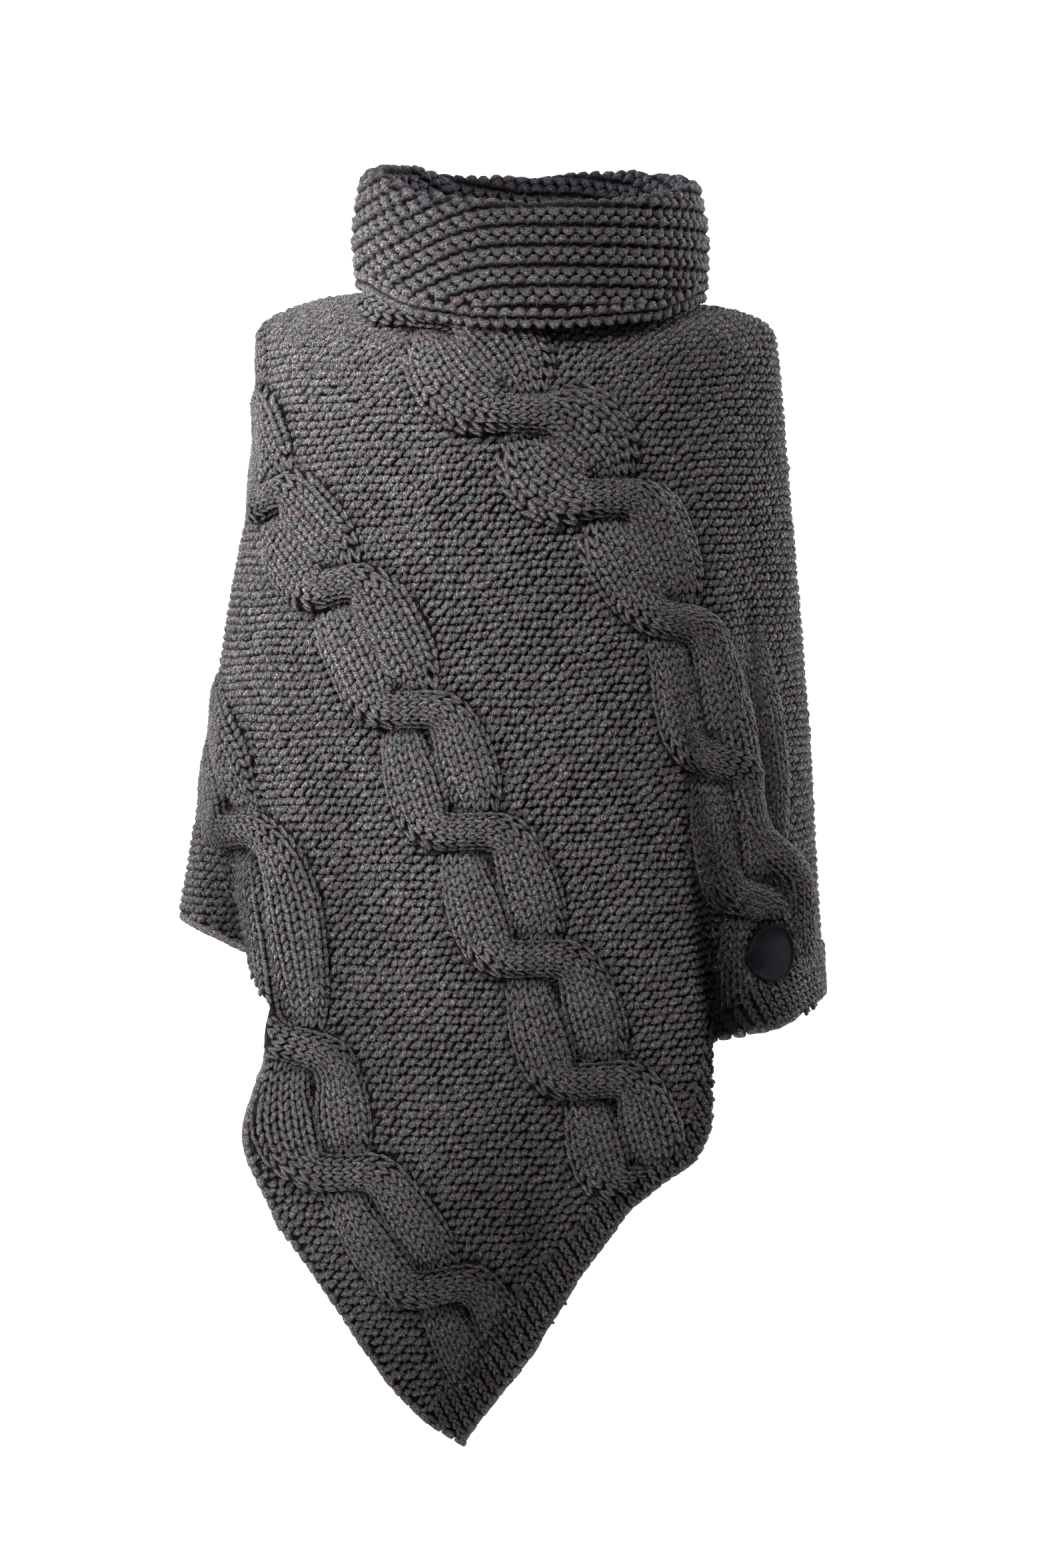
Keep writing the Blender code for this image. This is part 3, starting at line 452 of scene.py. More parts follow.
def strand_line(name, strand, facing):
    """Centre line of one strand in the flat cloth, with its half width and height. The
    strands take turns to pass over and under. Between crossings both run a little
    steeper than the cable."""
    line, count = smooth_line(CABLES[name])
    turn = np.linspace(0.0, count[-1], int(count[-1] * 60) + 1)
    axis = along_line(turn, count, line)
    heading = unit(np.gradient(axis, axis=0))
    over = (np.round(turn).astype(int) + strand) % 2 == 0
    cross_length = changing(turn, *SLOWER_CROSSING.get(name, (CROSS_LENGTH,) * 2 + (0.0, 1.0)))
    full = changing(turn, *FULL_LOBES.get(name, (0.0, 0.0, 0.0, 1.0)))
    wider = changing(turn, *WIDER.get(name, (1.0, 1.0, 0.0, 1.0)))
    begun = BEGINS.get(name, (1.0, 1.0, -2.0, -1.0))

    local = turn - np.round(turn)
    swap = np.tanh(local / cross_length) / np.tanh(0.5 / cross_length)
    slow = (cross_length / CROSS_LENGTH) ** 0.4
    bump = np.exp(-(local / (CROSS_REACH * slow)) ** 2)
    below = np.exp(-((local - HOLLOW_AT[0]) / HOLLOW_AT[1]) ** 2) / slow ** 2
    swell = full * FULLNESS * (1.0 - bump)
    half = (STRAND_HALF_WIDTH + (STRAND_CROSSING_HALF_WIDTH - STRAND_HALF_WIDTH) * bump
            + swell) - HOLLOW_NARROWING * below * (1.0 - full)
    half = half * (1.0 + (wider - 1.0) * smooth_step(0.1, 0.3, np.abs(local)))
    drift = STRAND_DRIFT / slow ** 2 * (1.0 - 0.7 * full)
    middle = ((np.where(over, 1.0, -1.0) * (STRAND_SPREAD - swell) + drift) * swap
              - 2.0 * drift * local) * wider
    top = (STRAND_RISE + np.where(over, OVER_LIFT, -UNDER_SINK) * bump) * changing(turn, *begun)
    right = np.stack([-heading[:, 1], heading[:, 0]], axis=-1)
    here = turn > begun[2]
    return (axis + right * (facing * middle)[:, None])[here], half[here], top[here]


def cable_field(across, up, facing):
    """Height of the cables' strands over the ground at points of the flat cloth."""
    rise = np.zeros_like(across)
    flat = np.stack([across, up], axis=-1)
    for face in (1.0, -1.0):
        for name in CABLES:
            for strand in (0, 1):
                path, half, top = strand_line(name, strand, face)
                close = np.all((flat > path.min(axis=0) - half.max())
                               & (flat < path.max(axis=0) + half.max()), axis=1)
                here = np.flatnonzero(close & (facing == face))
                at, off = nearest_of(flat[here], path)
                height = np.clip(1.0 - (off / half[at]) ** STRAND_SHAPE[0], 0.0, 1.0)
                rise[here] = np.maximum(rise[here], top[at] * height ** STRAND_SHAPE[1])
    return rise


TIP = [row[0] for row in HEM].index(TIP_ANGLE)
CAST_OFF = hem_line(HEM[TIP:], 0.0, 3.0)


def rib_depth(angle):
    return RIB_DEPTH[0] + (RIB_DEPTH[1] - RIB_DEPTH[0]) * smooth_step(0.55, 0.9, angle)


def cable_share(angle, fall):
    """Share of a cable's height that is left beside the neck, over the arm's side, under
    the badge and where the rib begins."""
    pressed = np.clip(np.abs(np.cos(angle)) / ARM_SIDE_REACH, 0.0, 1.0) ** 2
    across, up = lookup(angle, fall)
    to_badge = np.where(np.cos(angle) > 0.0,
                        np.hypot(across - BADGE_FLAT[0], up - BADGE_FLAT[1]), 1e3)
    return (smooth_step(*NECK_PLAIN, fall)
            * (ARM_SIDE_PRESS + (1.0 - ARM_SIDE_PRESS) * pressed)
            * (UNDER_BADGE + (1.0 - UNDER_BADGE) * smooth_step(*BADGE_CLEAR, to_badge))
            * smooth_step(*RIB_FADE, distance_to(to_net(angle, fall), CAST_OFF)
                          / rib_depth(angle)))


def cable_rise(angle, fall, across, up):
    """Height of the cloth over the ground at points given by both coordinates."""
    facing = np.where(np.cos(angle) >= 0.0, 1.0, -1.0)
    return cable_field(across, up, facing) * cable_share(angle, fall)


RELIEF_STEP = 3.0
RELIEF_BLUR = 7.5
RELIEF_ACROSS = np.arange(-390.0, 390.0, RELIEF_STEP)
RELIEF_UP = np.arange(-900.0, 132.0, RELIEF_STEP)
RELIEF_DEPTH = 6.8
RELIEF_DARK = 0.82


def relief_table(face):
    """Mean height of the cables round every place of the flat cloth's front or back."""
    across, up = [grid.ravel() for grid in np.meshgrid(RELIEF_ACROSS, RELIEF_UP)]
    wave = (np.fft.fftfreq(len(RELIEF_UP), RELIEF_STEP)[:, None] ** 2
            + np.fft.rfftfreq(len(RELIEF_ACROSS), RELIEF_STEP)[None, :] ** 2)
    blur = np.exp(-2.0 * (np.pi * RELIEF_BLUR) ** 2 * wave)
    rise = cable_field(across, up, np.full(len(across), face)).reshape(len(RELIEF_UP), -1)
    return np.fft.irfft2(np.fft.rfft2(rise) * blur, rise.shape)


RELIEF = {face: relief_table(face) for face in (1.0, -1.0)}


def hollow_shade(across, up, face, height):
    """Light left at a height of the cloth: little reaches the hollows of the cables."""
    i = np.clip((across - RELIEF_ACROSS[0]) / RELIEF_STEP, 0.0, len(RELIEF_ACROSS) - 1.0)
    j = np.clip((up - RELIEF_UP[0]) / RELIEF_STEP, 0.0, len(RELIEF_UP) - 1.0)
    around = RELIEF[face][np.round(j).astype(int), np.round(i).astype(int)]
    return 1.0 - RELIEF_DARK * smooth_step(0.0, RELIEF_DEPTH, around - height)


def even_points(step):
    """Evenly spaced points of the net inside the outline."""
    low, high = OUTLINE.min(axis=0), OUTLINE.max(axis=0)
    spots = []
    for j, y in enumerate(np.arange(low[1], high[1], 0.866 * step)):
        x = np.arange(low[0] + 0.5 * step * (j % 2), high[0], step)
        spots.append(np.stack([x, np.full(len(x), y)], axis=-1))
    spots = np.vstack(spots)
    spots = spots[inside_outline(spots)]
    return spots[distance_to(spots, OUTLINE) > 0.55 * EDGE_PITCH]


def net_triangles(points):
    """Triangles over the outline and the points inside it."""
    spots = [Vector(p) for p in np.vstack([OUTLINE, points]).tolist()]
    out = delaunay_2d_cdt(spots, [], [list(range(len(OUTLINE)))], 1, 1e-6)
    origin = [members[0] for members in out[3]]
    return [[origin[v] for v in tri] for tri in out[2]]


def add_piece(name, mesh, material):
    """Puts a finished mesh in the scene as a piece that rides on the one body."""
    mesh.materials.append(material)
    piece = bpy.data.objects.new(name, mesh)
    bpy.context.scene.collection.objects.link(piece)
    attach(piece, "root")
    return piece


def add_solid(name, bm, material, slot, shades=None):
    """Turns a bmesh in metres into the smooth piece that takes the place of a solid."""
    bmesh.ops.recalc_face_normals(bm, faces=bm.faces)
    mesh = bpy.data.meshes.new(name)
    bm.to_mesh(mesh)
    bm.free()
    if shades is not None:
        level = mesh.attributes.new("shade", "FLOAT_COLOR", "POINT")
        level.data.foreach_set("color", np.array(shades, np.float32).ravel())
    mesh.polygons.foreach_set("use_smooth", np.ones(len(mesh.polygons), bool))
    piece = add_piece(name, mesh, material)
    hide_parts(slot)
    return piece


# colours of the wool, from the shade between fibres to the palest hairs
WOOL_DARK = (0.022, 0.010, 0.014)
WOOL_MID = (0.105, 0.103, 0.104)
WOOL_PALE = (0.46, 0.455, 0.46)
WOOL_GREEN_CAST = (0.97, 1.01, 1.00)
WOOL_MAUVE_CAST = (1.07, 0.97, 1.00)
WOOL_BLUE_CAST = (0.95, 0.99, 1.12)
WHITE = (1.0, 1.0, 1.0)


def set_inputs(tree, made, inputs):
    """Sets a node's inputs to numbers and colours, or links them to other nodes."""
    for name, value in inputs.items():
        if isinstance(value, bpy.types.NodeSocket):
            tree.links.new(value, made.inputs[name])
        else:
            made.inputs[name].default_value = value


def node(tree, kind, inputs, **settings):
    made = tree.nodes.new("ShaderNode" + kind)
    for name, value in settings.items():
        setattr(made, name, value)
    set_inputs(tree, made, inputs)
    return made


def wool_base(name, roughness, sheen=0.07, specular=0.18):
    material = bpy.data.materials.new(name)
    material.use_nodes = True
    tree = material.node_tree
    shader = tree.nodes["Principled BSDF"]
    set_inputs(tree, shader, {"Roughness": roughness, "Specular IOR Level": specular,
                              "Sheen Weight": sheen, "Sheen Roughness": 0.55,
                              "Sheen Tint": (0.75, 0.76, 0.8, 1.0)})
    return material, tree, shader


def math(tree, operation, *values):
    return node(tree, "Math", dict(enumerate(values)), operation=operation).outputs[0]


def multiply_colours(tree, colour, *others):
    for other in others:
        colour = node(tree, "Mix", {0: 1.0, 6: colour, 7: other}, data_type="RGBA",
                      blend_type="MULTIPLY").outputs[2]
    return colour


def ramp(tree, value, *stops):
    made = node(tree, "ValToRGB", {"Fac": value})
    while len(made.color_ramp.elements) < len(stops):
        made.color_ramp.elements.new(0.5)
    for element, (place, colour) in zip(made.color_ramp.elements, stops):
        element.position = place
        element.color = (*colour, 1.0)
    return made.outputs["Color"]


def noise(tree, vector, scale, detail, roughness):
    return node(tree, "TexNoise", {"Vector": vector, "Scale": scale, "Detail": detail,
                                   "Roughness": roughness}).outputs["Fac"]


def relief(tree, height, strength, distance, **below):
    """Normal of a bumpy surface, on top of another relief if one is given."""
    return node(tree, "Bump", {"Height": height, "Strength": strength,
                               "Distance": distance, **below}).outputs["Normal"]


def attribute(tree, name, output):
    return node(tree, "Attribute", {}, attribute_name=name).outputs[output]


def heather_tint(tree):
    """Slow drift of the wool's cast between green-grey, mauve-brown and blue-grey."""
    place = node(tree, "TexCoord", {}).outputs["Object"]
    return ramp(tree, noise(tree, place, 95.0, 2.0, 0.6),
                (0.28, WOOL_BLUE_CAST), (0.36, WOOL_GREEN_CAST),
                (0.50, WOOL_GREEN_CAST), (0.60, WOOL_MAUVE_CAST))


def cloth_material():
    """The cloth between and behind the stitches: wool with the fine V rows of the plain side,
    which is what shows inside. Painted shade darkens the grooves of the rows, and the
    faces under the stitches take the painted shade between them."""
    material, tree, shader = wool_base("wool_cloth", 0.95)
    fibre = noise(tree, node(tree, "TexCoord", {}).outputs["Object"], 900.0, 3.0, 0.65)
    wool = ramp(tree, fibre, (0.30, WOOL_DARK), (0.58, (0.05, 0.05, 0.05)),
                (0.80, (0.14, 0.138, 0.135)))
    flat = node(tree, "UVMap", {}, uv_map="flat_cloth").outputs["UV"]
    column, row = node(tree, "SeparateXYZ", {0: flat}).outputs[:2]
    leg = math(tree, "MULTIPLY_ADD", math(tree, "PINGPONG", column, 0.5), 1.3, row)
    groove = math(tree, "PINGPONG", math(tree, "MULTIPLY", column, 2.0), 0.5)
    both = math(tree, "MULTIPLY", math(tree, "PINGPONG", leg, 0.5), groove)
    shade = ramp(tree, both, (0.02, (0.25, 0.23, 0.23)), (0.16, WHITE))
    set_inputs(tree, shader, {
        "Base Color": multiply_colours(tree, wool, heather_tint(tree),
                                       attribute(tree, "shade", "Color"), shade),
        "Normal": relief(tree, fibre, 0.6, 0.0006, Normal=relief(tree, both, 0.9, 0.004))})
    return material


# one stitch of the ground in the flat cloth: step along a course, step down a wale
COURSE = np.array([7.25, 6.45])
WALE = np.array([3.45, -6.0])
TO_STITCH = np.linalg.inv(np.stack([COURSE, WALE], axis=1))

CLOTH = cloth_material()
PAINTED_SHADE_BETWEEN_STITCHES = (0.42, 0.19, 0.24, 1.0)     # painted shade: the cloth that shows between the stitches is darkened to this
INSIDE_FACE = (*WHITE, 1.0)

bm = bmesh.new()
flat_layer = bm.loops.layers.uv.new("flat_cloth")
rims = []
shades = []
for step, is_outer in ((OUTER_STEP, True), (INNER_STEP, False)):
    inner_points = even_points(step)
    net = np.vstack([OUTLINE, inner_points])
    angle, fall = from_net(net)
    flat = lookup(angle, fall)
    point, out, _, _ = cloth_frame(angle, fall)
    lift = cable_rise(angle, fall, *flat) - STITCH_SINK if is_outer else -WALL
    spots = (point + out * (lift * np.ones(len(net)))[:, None]) * MM
    spots[net[:, 0] > OUTLINE[:, 0].max() - 1e-6, 1] -= 0.5 * SEAM_GAP * MM
    spots[net[:, 0] < OUTLINE[:, 0].min() + 1e-6, 1] += 0.5 * SEAM_GAP * MM
    verts = [bm.verts.new(spot) for spot in spots.tolist()]
    # the outer face takes the painted shade between the stitches, the inner face stays plain
    shades.append(np.tile(PAINTED_SHADE_BETWEEN_STITCHES if is_outer else INSIDE_FACE, (len(spots), 1)))
    stitch = flat.T @ TO_STITCH.T
    for tri in net_triangles(inner_points):
        corners = tri if is_outer else tri[::-1]
        for loop, k in zip(bm.faces.new([verts[k] for k in corners]).loops, corners):
            loop[flat_layer].uv = stitch[k]
    rims.append(verts[:len(OUTLINE)])
bmesh.ops.bridge_loops(bm, edges=[bm.edges.get(pair) for rim in rims
                                  for pair in zip(rim, rim[1:] + rim[:1])])
wrap_cloth = add_solid("wrap_cloth", bm, CLOTH, "wrap", np.vstack(shades))

# ================================================================= ground: purl-side stitches
# The ground is reverse stockinette: every stitch shows two short curved bumps of yarn, one
# arching up and one arching down half a stitch away, with dark pits between them, shaded
# there and darkened further with painted shade, while the bumps' tops get painted light.
# The rows lean because the strip hangs slantwise. About ten stitches and fifteen rows to 10 cm.
BUMP_LENGTH = 8.4
BUMP_RADIUS = 2.65
BUMP_ARCH = 1.0
BUMP_DIVE = 2.1            # how far the ends sink into the cloth
BUMP_LIFT = -0.9
BUMP_LEAN = np.radians(47.0)
ROUGH = 0.16               # the yarn's outline is uneven by this much
CABLE_TOUCH = 2.0          # the ground's stitches reach in until a cable is this high
EDGE_CLEAR = 4.0
FOLD_REACH = 3.7           # stitches this far past the left fold are drawn onto it
PIT_PAINTED_SHADE = (0.16, 0.105, 0.125)    # painted shade on each stitch's low parts, down between the others
# painted light on each stitch's top
CREST_PAINTED_LIGHT = (1.60, 1.62, 1.64)
BADGE_RADIUS = 21.0
BADGE_FACING = (0.3, -0.954, 0.0)
BADGE_PRESS = 1.1          # how far the stitches stay below the badge's face
UNDER_THE_BADGE = ("ground_down_front", "ground_up_front", "cable_stitches_front", "rib_")


def yarn_material(name, pale=WOOL_PALE, mid=WOOL_MID, dark=WOOL_DARK, depth=1.0):
    """Heather wool: fibres streak along the twisted plies, and the cast drifts from
    stitch to stitch. The yarn map runs along and around each length of yarn in mm."""
    material, tree, shader = wool_base(name, 0.9)
    yarn = node(tree, "UVMap", {}, uv_map="yarn").outputs["UV"]
    twist = node(tree, "Mapping", {"Vector": yarn, "Rotation": (0.0, 0.0, np.radians(-32.0))})
    stretch = node(tree, "Mapping", {"Vector": twist.outputs["Vector"],
                                     "Scale": (0.45, 1.9, 1.0)})
    fibre = noise(tree, stretch.outputs["Vector"], 1.0, 4.0, 0.72)
    middle = [(place, tuple(share * c for c in mid))
              for place, share in ((0.475, 0.5), (0.525, 1.15), (0.565, 2.6))]
    wool = ramp(tree, fibre, (0.41, dark), *middle, (0.62, pale))
    cast = ramp(tree, attribute(tree, "cast", "Fac"), (0.02, WOOL_BLUE_CAST),
                (0.06, WOOL_GREEN_CAST), (0.50, WHITE), (0.68, WOOL_MAUVE_CAST),
                (1.0, WOOL_MAUVE_CAST))
    # the wool's colour is multiplied by the shade colour, which holds painted light and shade
    set_inputs(tree, shader, {
        "Base Color": multiply_colours(tree, wool, heather_tint(tree), cast,
                                       attribute(tree, "shade", "Color")),
        "Normal": relief(tree, fibre, 0.9, 0.0014 * depth)})
    return material


YARN = yarn_material("heather_yarn")


def yarn_lump(segments, rings, length, radius, arch, dive, flat=1.0):
    """A short closed length of yarn along X: tapered ends, arched towards +Y, its ends
    sunk towards -Z. Returns points, faces and the yarn map in millimetres."""
    lump = bmesh.new()
    bmesh.ops.create_uvsphere(lump, u_segments=segments, v_segments=rings, radius=1.0)
    turn = Matrix.Rotation(np.radians(90.0), 3, "Y") @ Matrix.Rotation(np.pi, 3, "Z")
    bmesh.ops.rotate(lump, verts=lump.verts, cent=(0.0, 0.0, 0.0), matrix=turn)
    bmesh.ops.recalc_face_normals(lump, faces=lump.faces)
    x, y, z = np.array([v.co for v in lump.verts]).T
    faces = [[v.index for v in f.verts] for f in lump.faces]
    lump.free()
    body = np.sqrt(np.clip(1.0 - x * x, 0.0, 1.0))
    fuller = np.where(body > 0.01, body ** -0.35, 0.0)
    points = np.stack([x * 0.5 * length,
                       y * fuller * radius + arch * (1.0 - 2.0 * x * x),
                       z * fuller * radius * flat - dive * x * x], axis=-1)
    corners = []
    for face in faces:
        ring = np.arctan2(y, z)[face] * radius
        if ring.max() - ring.min() > np.pi * radius:
            ring = np.where(ring < 0.0, ring + 2.0 * np.pi * radius, ring)
        corners.append(np.stack([points[face, 0], ring], axis=-1))
    return points, faces, np.concatenate(corners)


badge_points = [Vector(v.co) for v in bpy.data.objects["badge"].data.vertices]
badge_middle = sum(badge_points, Vector()) / len(badge_points)
badge_out = Vector(BADGE_FACING).normalized()
badge_tree = BVHTree.FromObject(bpy.data.objects["badge"],
                                bpy.context.evaluated_depsgraph_get())


def badge_face(aside):
    """Point of the badge's face at a step aside from its middle."""
    return badge_tree.ray_cast(badge_middle + aside + badge_out * 0.05, -badge_out)[0]


def pressed_by_badge(spots):
    """Points of the stitches, pressed back where the badge is sewn down over them."""
    away = spots - np.array(badge_middle)
    height = away @ np.array(badge_out)
    level = away - height[..., None] * np.array(badge_out)
    reach = np.linalg.norm(level, axis=-1) / (BADGE_RADIUS * MM)
    for spot in map(tuple, np.argwhere((reach < 1.25) & (np.abs(height) < 0.02))):
        face = badge_face(Vector(level[spot] * min(1.0, 0.95 / reach[spot])))
        limit = ((face - badge_middle).dot(badge_out) - BADGE_PRESS * MM
                 + 1.1 * BADGE_RADIUS * MM * max(0.0, reach[spot] - 1.04))
        spots[spot] += min(0.0, limit - height[spot]) * np.array(badge_out)
    return spots


def joined_mesh(name, spots, faces, draw):
    """One mesh of many like shapes, from each copy's points in metres, with a cast
    drawn for each."""
    count, per = spots.shape[:2]
    mesh = bpy.data.meshes.new(name)
    mesh.vertices.add(count * per)
    mesh.vertices.foreach_set("co", spots.astype(np.float32).ravel())
    index = np.arange(count)[:, None] * per + np.concatenate(faces)
    mesh.loops.add(index.size)
    mesh.loops.foreach_set("vertex_index", index.astype(np.int32).ravel())
    starts = running(np.tile([len(f) for f in faces], count))[:-1]
    mesh.polygons.add(len(starts))
    mesh.polygons.foreach_set("loop_start", starts.astype(np.int32))
    mesh.polygons.foreach_set("use_smooth", np.ones(len(starts), bool))
    mesh.update(calc_edges=True)
    cast = mesh.attributes.new("cast", "FLOAT", "POINT")
    cast.data.foreach_set("value", np.repeat(draw.uniform(0.0, 1.0, count), per))
    return mesh


fuzz_roots = []


def stitch_piece(name, lump, place, axes, seed, shade=1.0, rough=ROUGH, fuzzy=0.0,
                 material=YARN):
    """Copies one lump of yarn to every place, turned to its axes, as one joined piece.
    A share of the copies, fuzzy, will get a stray fibre."""
    points, faces, corners = lump
    count = len(place)
    draw = np.random.default_rng(seed)
    spots = place[:, None, :] + sum(points[None, :, k:k + 1] * axis[:, None, :]
                                    for k, axis in enumerate(axes))
    spots = (spots + draw.normal(0.0, rough, spots.shape)) * MM
    if name.startswith(UNDER_THE_BADGE):
        spots = pressed_by_badge(spots)
    for _ in range(int(np.ceil(fuzzy))):
        hairy = draw.uniform(0.0, 1.0, count) < fuzzy / np.ceil(fuzzy)
        fuzz_roots.append(np.hstack([place, *axes])[hairy])
    shift = draw.uniform(0.0, 400.0, (count, 1, 2))
    mesh = joined_mesh(name, spots, faces, draw)
    uv = mesh.uv_layers.new(name="yarn")
    uv.data.foreach_set("uv", (corners[None] + shift).astype(np.float32).ravel())
    # painted light and shade: each copy is lighter at its top and darker low down, times the shade
    # passed in by the caller and a random tone per copy
    crest = smooth_step(-0.5, 0.9, points[:, 2] / points[:, 2].max())[:, None]
    by_depth = np.array(PIT_PAINTED_SHADE) * (1.0 - crest) + np.array(CREST_PAINTED_LIGHT) * crest
    colour = np.ones((count, len(points), 4))
    colour[..., :3] = (draw.uniform(0.86, 1.14, (count, 1)) * shade)[:, None, :] * by_depth[None]
    level = mesh.attributes.new("shade", "FLOAT_COLOR", "POINT")
    level.data.foreach_set("color", colour.ravel())
    mesh.validate()
    return add_piece(name, mesh, material)


def lying_in(vectors, out):
    """The vectors turned into the plane that faces out."""
    return unit(vectors - out * np.sum(vectors * out, axis=1, keepdims=True))


def axes_over(x_axis, normal):
    """Square axes of a stitch: along the yarn, across it and out of the cloth."""
    y_axis = unit(np.cross(normal, x_axis))
    return x_axis, y_axis, np.cross(x_axis, y_axis)


class FlatCloth:
    """Finds where points of the flat cloth lie on the front or on the back."""

    def __init__(self, columns):
        turns = TABLE_ANGLES[columns]
        if columns[0] > columns[-1]:
            turns = turns - np.where(columns >= RIGHT_COLUMN, 2.0 * np.pi, 0.0)
        self.low, self.high = turns.min() + 1e-4, turns.max() - 1e-4
        self.spots = np.array([np.tile(turns, len(TABLE_FALLS)),
                               np.repeat(TABLE_FALLS, len(columns))])
        self.tree = flat_tree(TABLE[:, :, columns].reshape(2, -1).T)

    def find(self, flat, reach=1.5):
        """Angle and fall of each point, its place in the net, and whether it lies on
        this side, inside the outline, at all."""
        guess = self.spots[:, [self.tree.find((x, y, 0.0))[1] for x, y in flat]]
        for _ in range(5):
            here, turned, fallen, area = flat_steps(*guess, 0.02, 1e-3)
            miss = flat.T - here
            move = np.stack([(miss[0] * fallen[1] - miss[1] * fallen[0]) / area,
                             (miss[1] * turned[0] - miss[0] * turned[1]) / area])
            guess = guess + np.clip(move, -0.06, 0.06)
            guess = np.stack([np.clip(guess[0], self.low, self.high),
                              np.maximum(guess[1], 0.0)])
        net = to_net(*guess)
        found = np.hypot(*(flat.T - lookup(*guess))) < reach
        return (*guess, net, found & inside_outline(net))


SIDES = {"front": FlatCloth(np.arange(LEFT_COLUMN, RIGHT_COLUMN + 1)),
         "back": FlatCloth(np.r_[RIGHT_COLUMN:len(TABLE_ANGLES), 0:LEFT_COLUMN + 1])}
FACES = {"front": 1.0, "back": -1.0}


def kept(mask, *arrays):
    return [array[mask] for array in arrays]


def ground_lattice():
    """Flat places of the ground's bumps: arching up, and half a stitch on arching down."""
    i, j = [grid.ravel() for grid in np.meshgrid(np.arange(-140, 141), np.arange(-140, 141))]
    places, arches = [], []
    for half, arch in ((0.0, 1.0), (0.5, -1.0)):
        flat = (i + half)[:, None] * COURSE + (j + half)[:, None] * WALE
        flat = flat + np.stack([0.9 * np.sin(flat[:, 1] / 13.0 + flat[:, 0] / 31.0),
                                0.8 * np.sin(flat[:, 0] / 15.0 - flat[:, 1] / 27.0)], axis=-1)
        keep = (np.abs(flat[:, 0]) < 345.0) & (flat[:, 1] > -850.0) & (flat[:, 1] < 110.0)
        places.append(flat[keep])
        arches.append(np.full(keep.sum(), arch))
    return np.vstack(places), np.concatenate(arches)


bump = yarn_lump(6, 4, BUMP_LENGTH, BUMP_RADIUS, BUMP_ARCH, BUMP_DIVE)
bump_behind = yarn_lump(4, 3, BUMP_LENGTH, BUMP_RADIUS, BUMP_ARCH, BUMP_DIVE)
for side, seed in (("front", 11), ("back", 12)):
    flat, arch = ground_lattice()
    draw = np.random.default_rng(seed)
    flat = flat + draw.normal(0.0, 0.26, flat.shape)
    angle, fall, net, found = SIDES[side].find(flat, FOLD_REACH)
    flat, arch, angle, fall, net = kept(found, flat, arch, angle, fall, net)
    rise = cable_rise(angle, fall, *flat.T)
    on_ground = (rise < CABLE_TOUCH) & (distance_to(net, OUTLINE) > EDGE_CLEAR)
    if side == "front":
        on_ground &= distance_to(net, CAST_OFF) > rib_depth(angle)
    arch, angle, fall, rise = kept(on_ground, arch, angle, fall, rise)
    point, out, across_step, up_step = cloth_frame(angle, fall)
    along = unit(across_step * np.cos(BUMP_LEAN) + up_step * np.sin(BUMP_LEAN))
    along = unit(along + 0.10 * draw.normal(0.0, 1.0, (len(along), 1)) * np.cross(out, along))
    along = lying_in(along, out)
    upward = np.cross(out, along)
    lift = BUMP_LIFT + 0.3 * draw.normal(0.0, 1.0, len(point)) + 0.5 * rise
    across, up = lookup(angle, fall)
    light = fold_shade(angle, across, up) * hollow_shade(across, up, FACES[side], rise)
    size = draw.uniform(0.88, 1.12, (len(point), 1))
    flip = arch[:, None] * np.sign(np.sum(upward * unit(up_step), axis=1, keepdims=True))
    for tag, sign in (("up", 1.0), ("down", -1.0)):
        part = arch == sign
        stitch_piece("ground_" + tag + "_" + side, bump if side == "front" else bump_behind,
                     (point + out * lift[:, None])[part],
                     kept(part, along * np.where(flip > 0.0, 1.0, -1.0) * size,
                          upward * flip * size, out),
                     seed + int(sign), light[part][:, None],
                     fuzzy=1.0 if side == "front" else 0.0)

# ================================================================= cables: knit-side strands
# Each cable is two strands of five or six stockinette columns that cross over each other
# about every 100 mm, always the left one on top, so each strand shows fine V rows that run
# with it. The strand that goes under comes out again on the left below a dark hollow, shaded
# by the strands and darkened further with painted shade. The cable stitches are painted
# lighter than the ground.
STRAND_COLUMNS = {"cable_neck": 6, "cable_middle": 5, "cable_edge": 5, "cable_side": 5}
FULL_COLUMNS = 5.0         # a leg of yarn keeps its width in a strand of five columns
LEG_ROW = 6.9
LEG_LENGTH = 10.2
LEG_RADIUS = 2.35
LEG_TURN = np.radians(17.0)
LEG_TILT = 0.15
LEG_LIFT = -1.0
HIDDEN_UNDER = 2.2         # legs this far under another strand don't show
# painted light: the cable stitches are painted this much lighter than the ground, as their close
# knit has fewer gaps in shade
CABLE_PAINTED_LIGHT = 1.08

leg = yarn_lump(4, 4, LEG_LENGTH, LEG_RADIUS, 0.0, 0.5, 0.8)
leg_behind = yarn_lump(4, 3, LEG_LENGTH, LEG_RADIUS, 0.0, 0.5, 0.8)


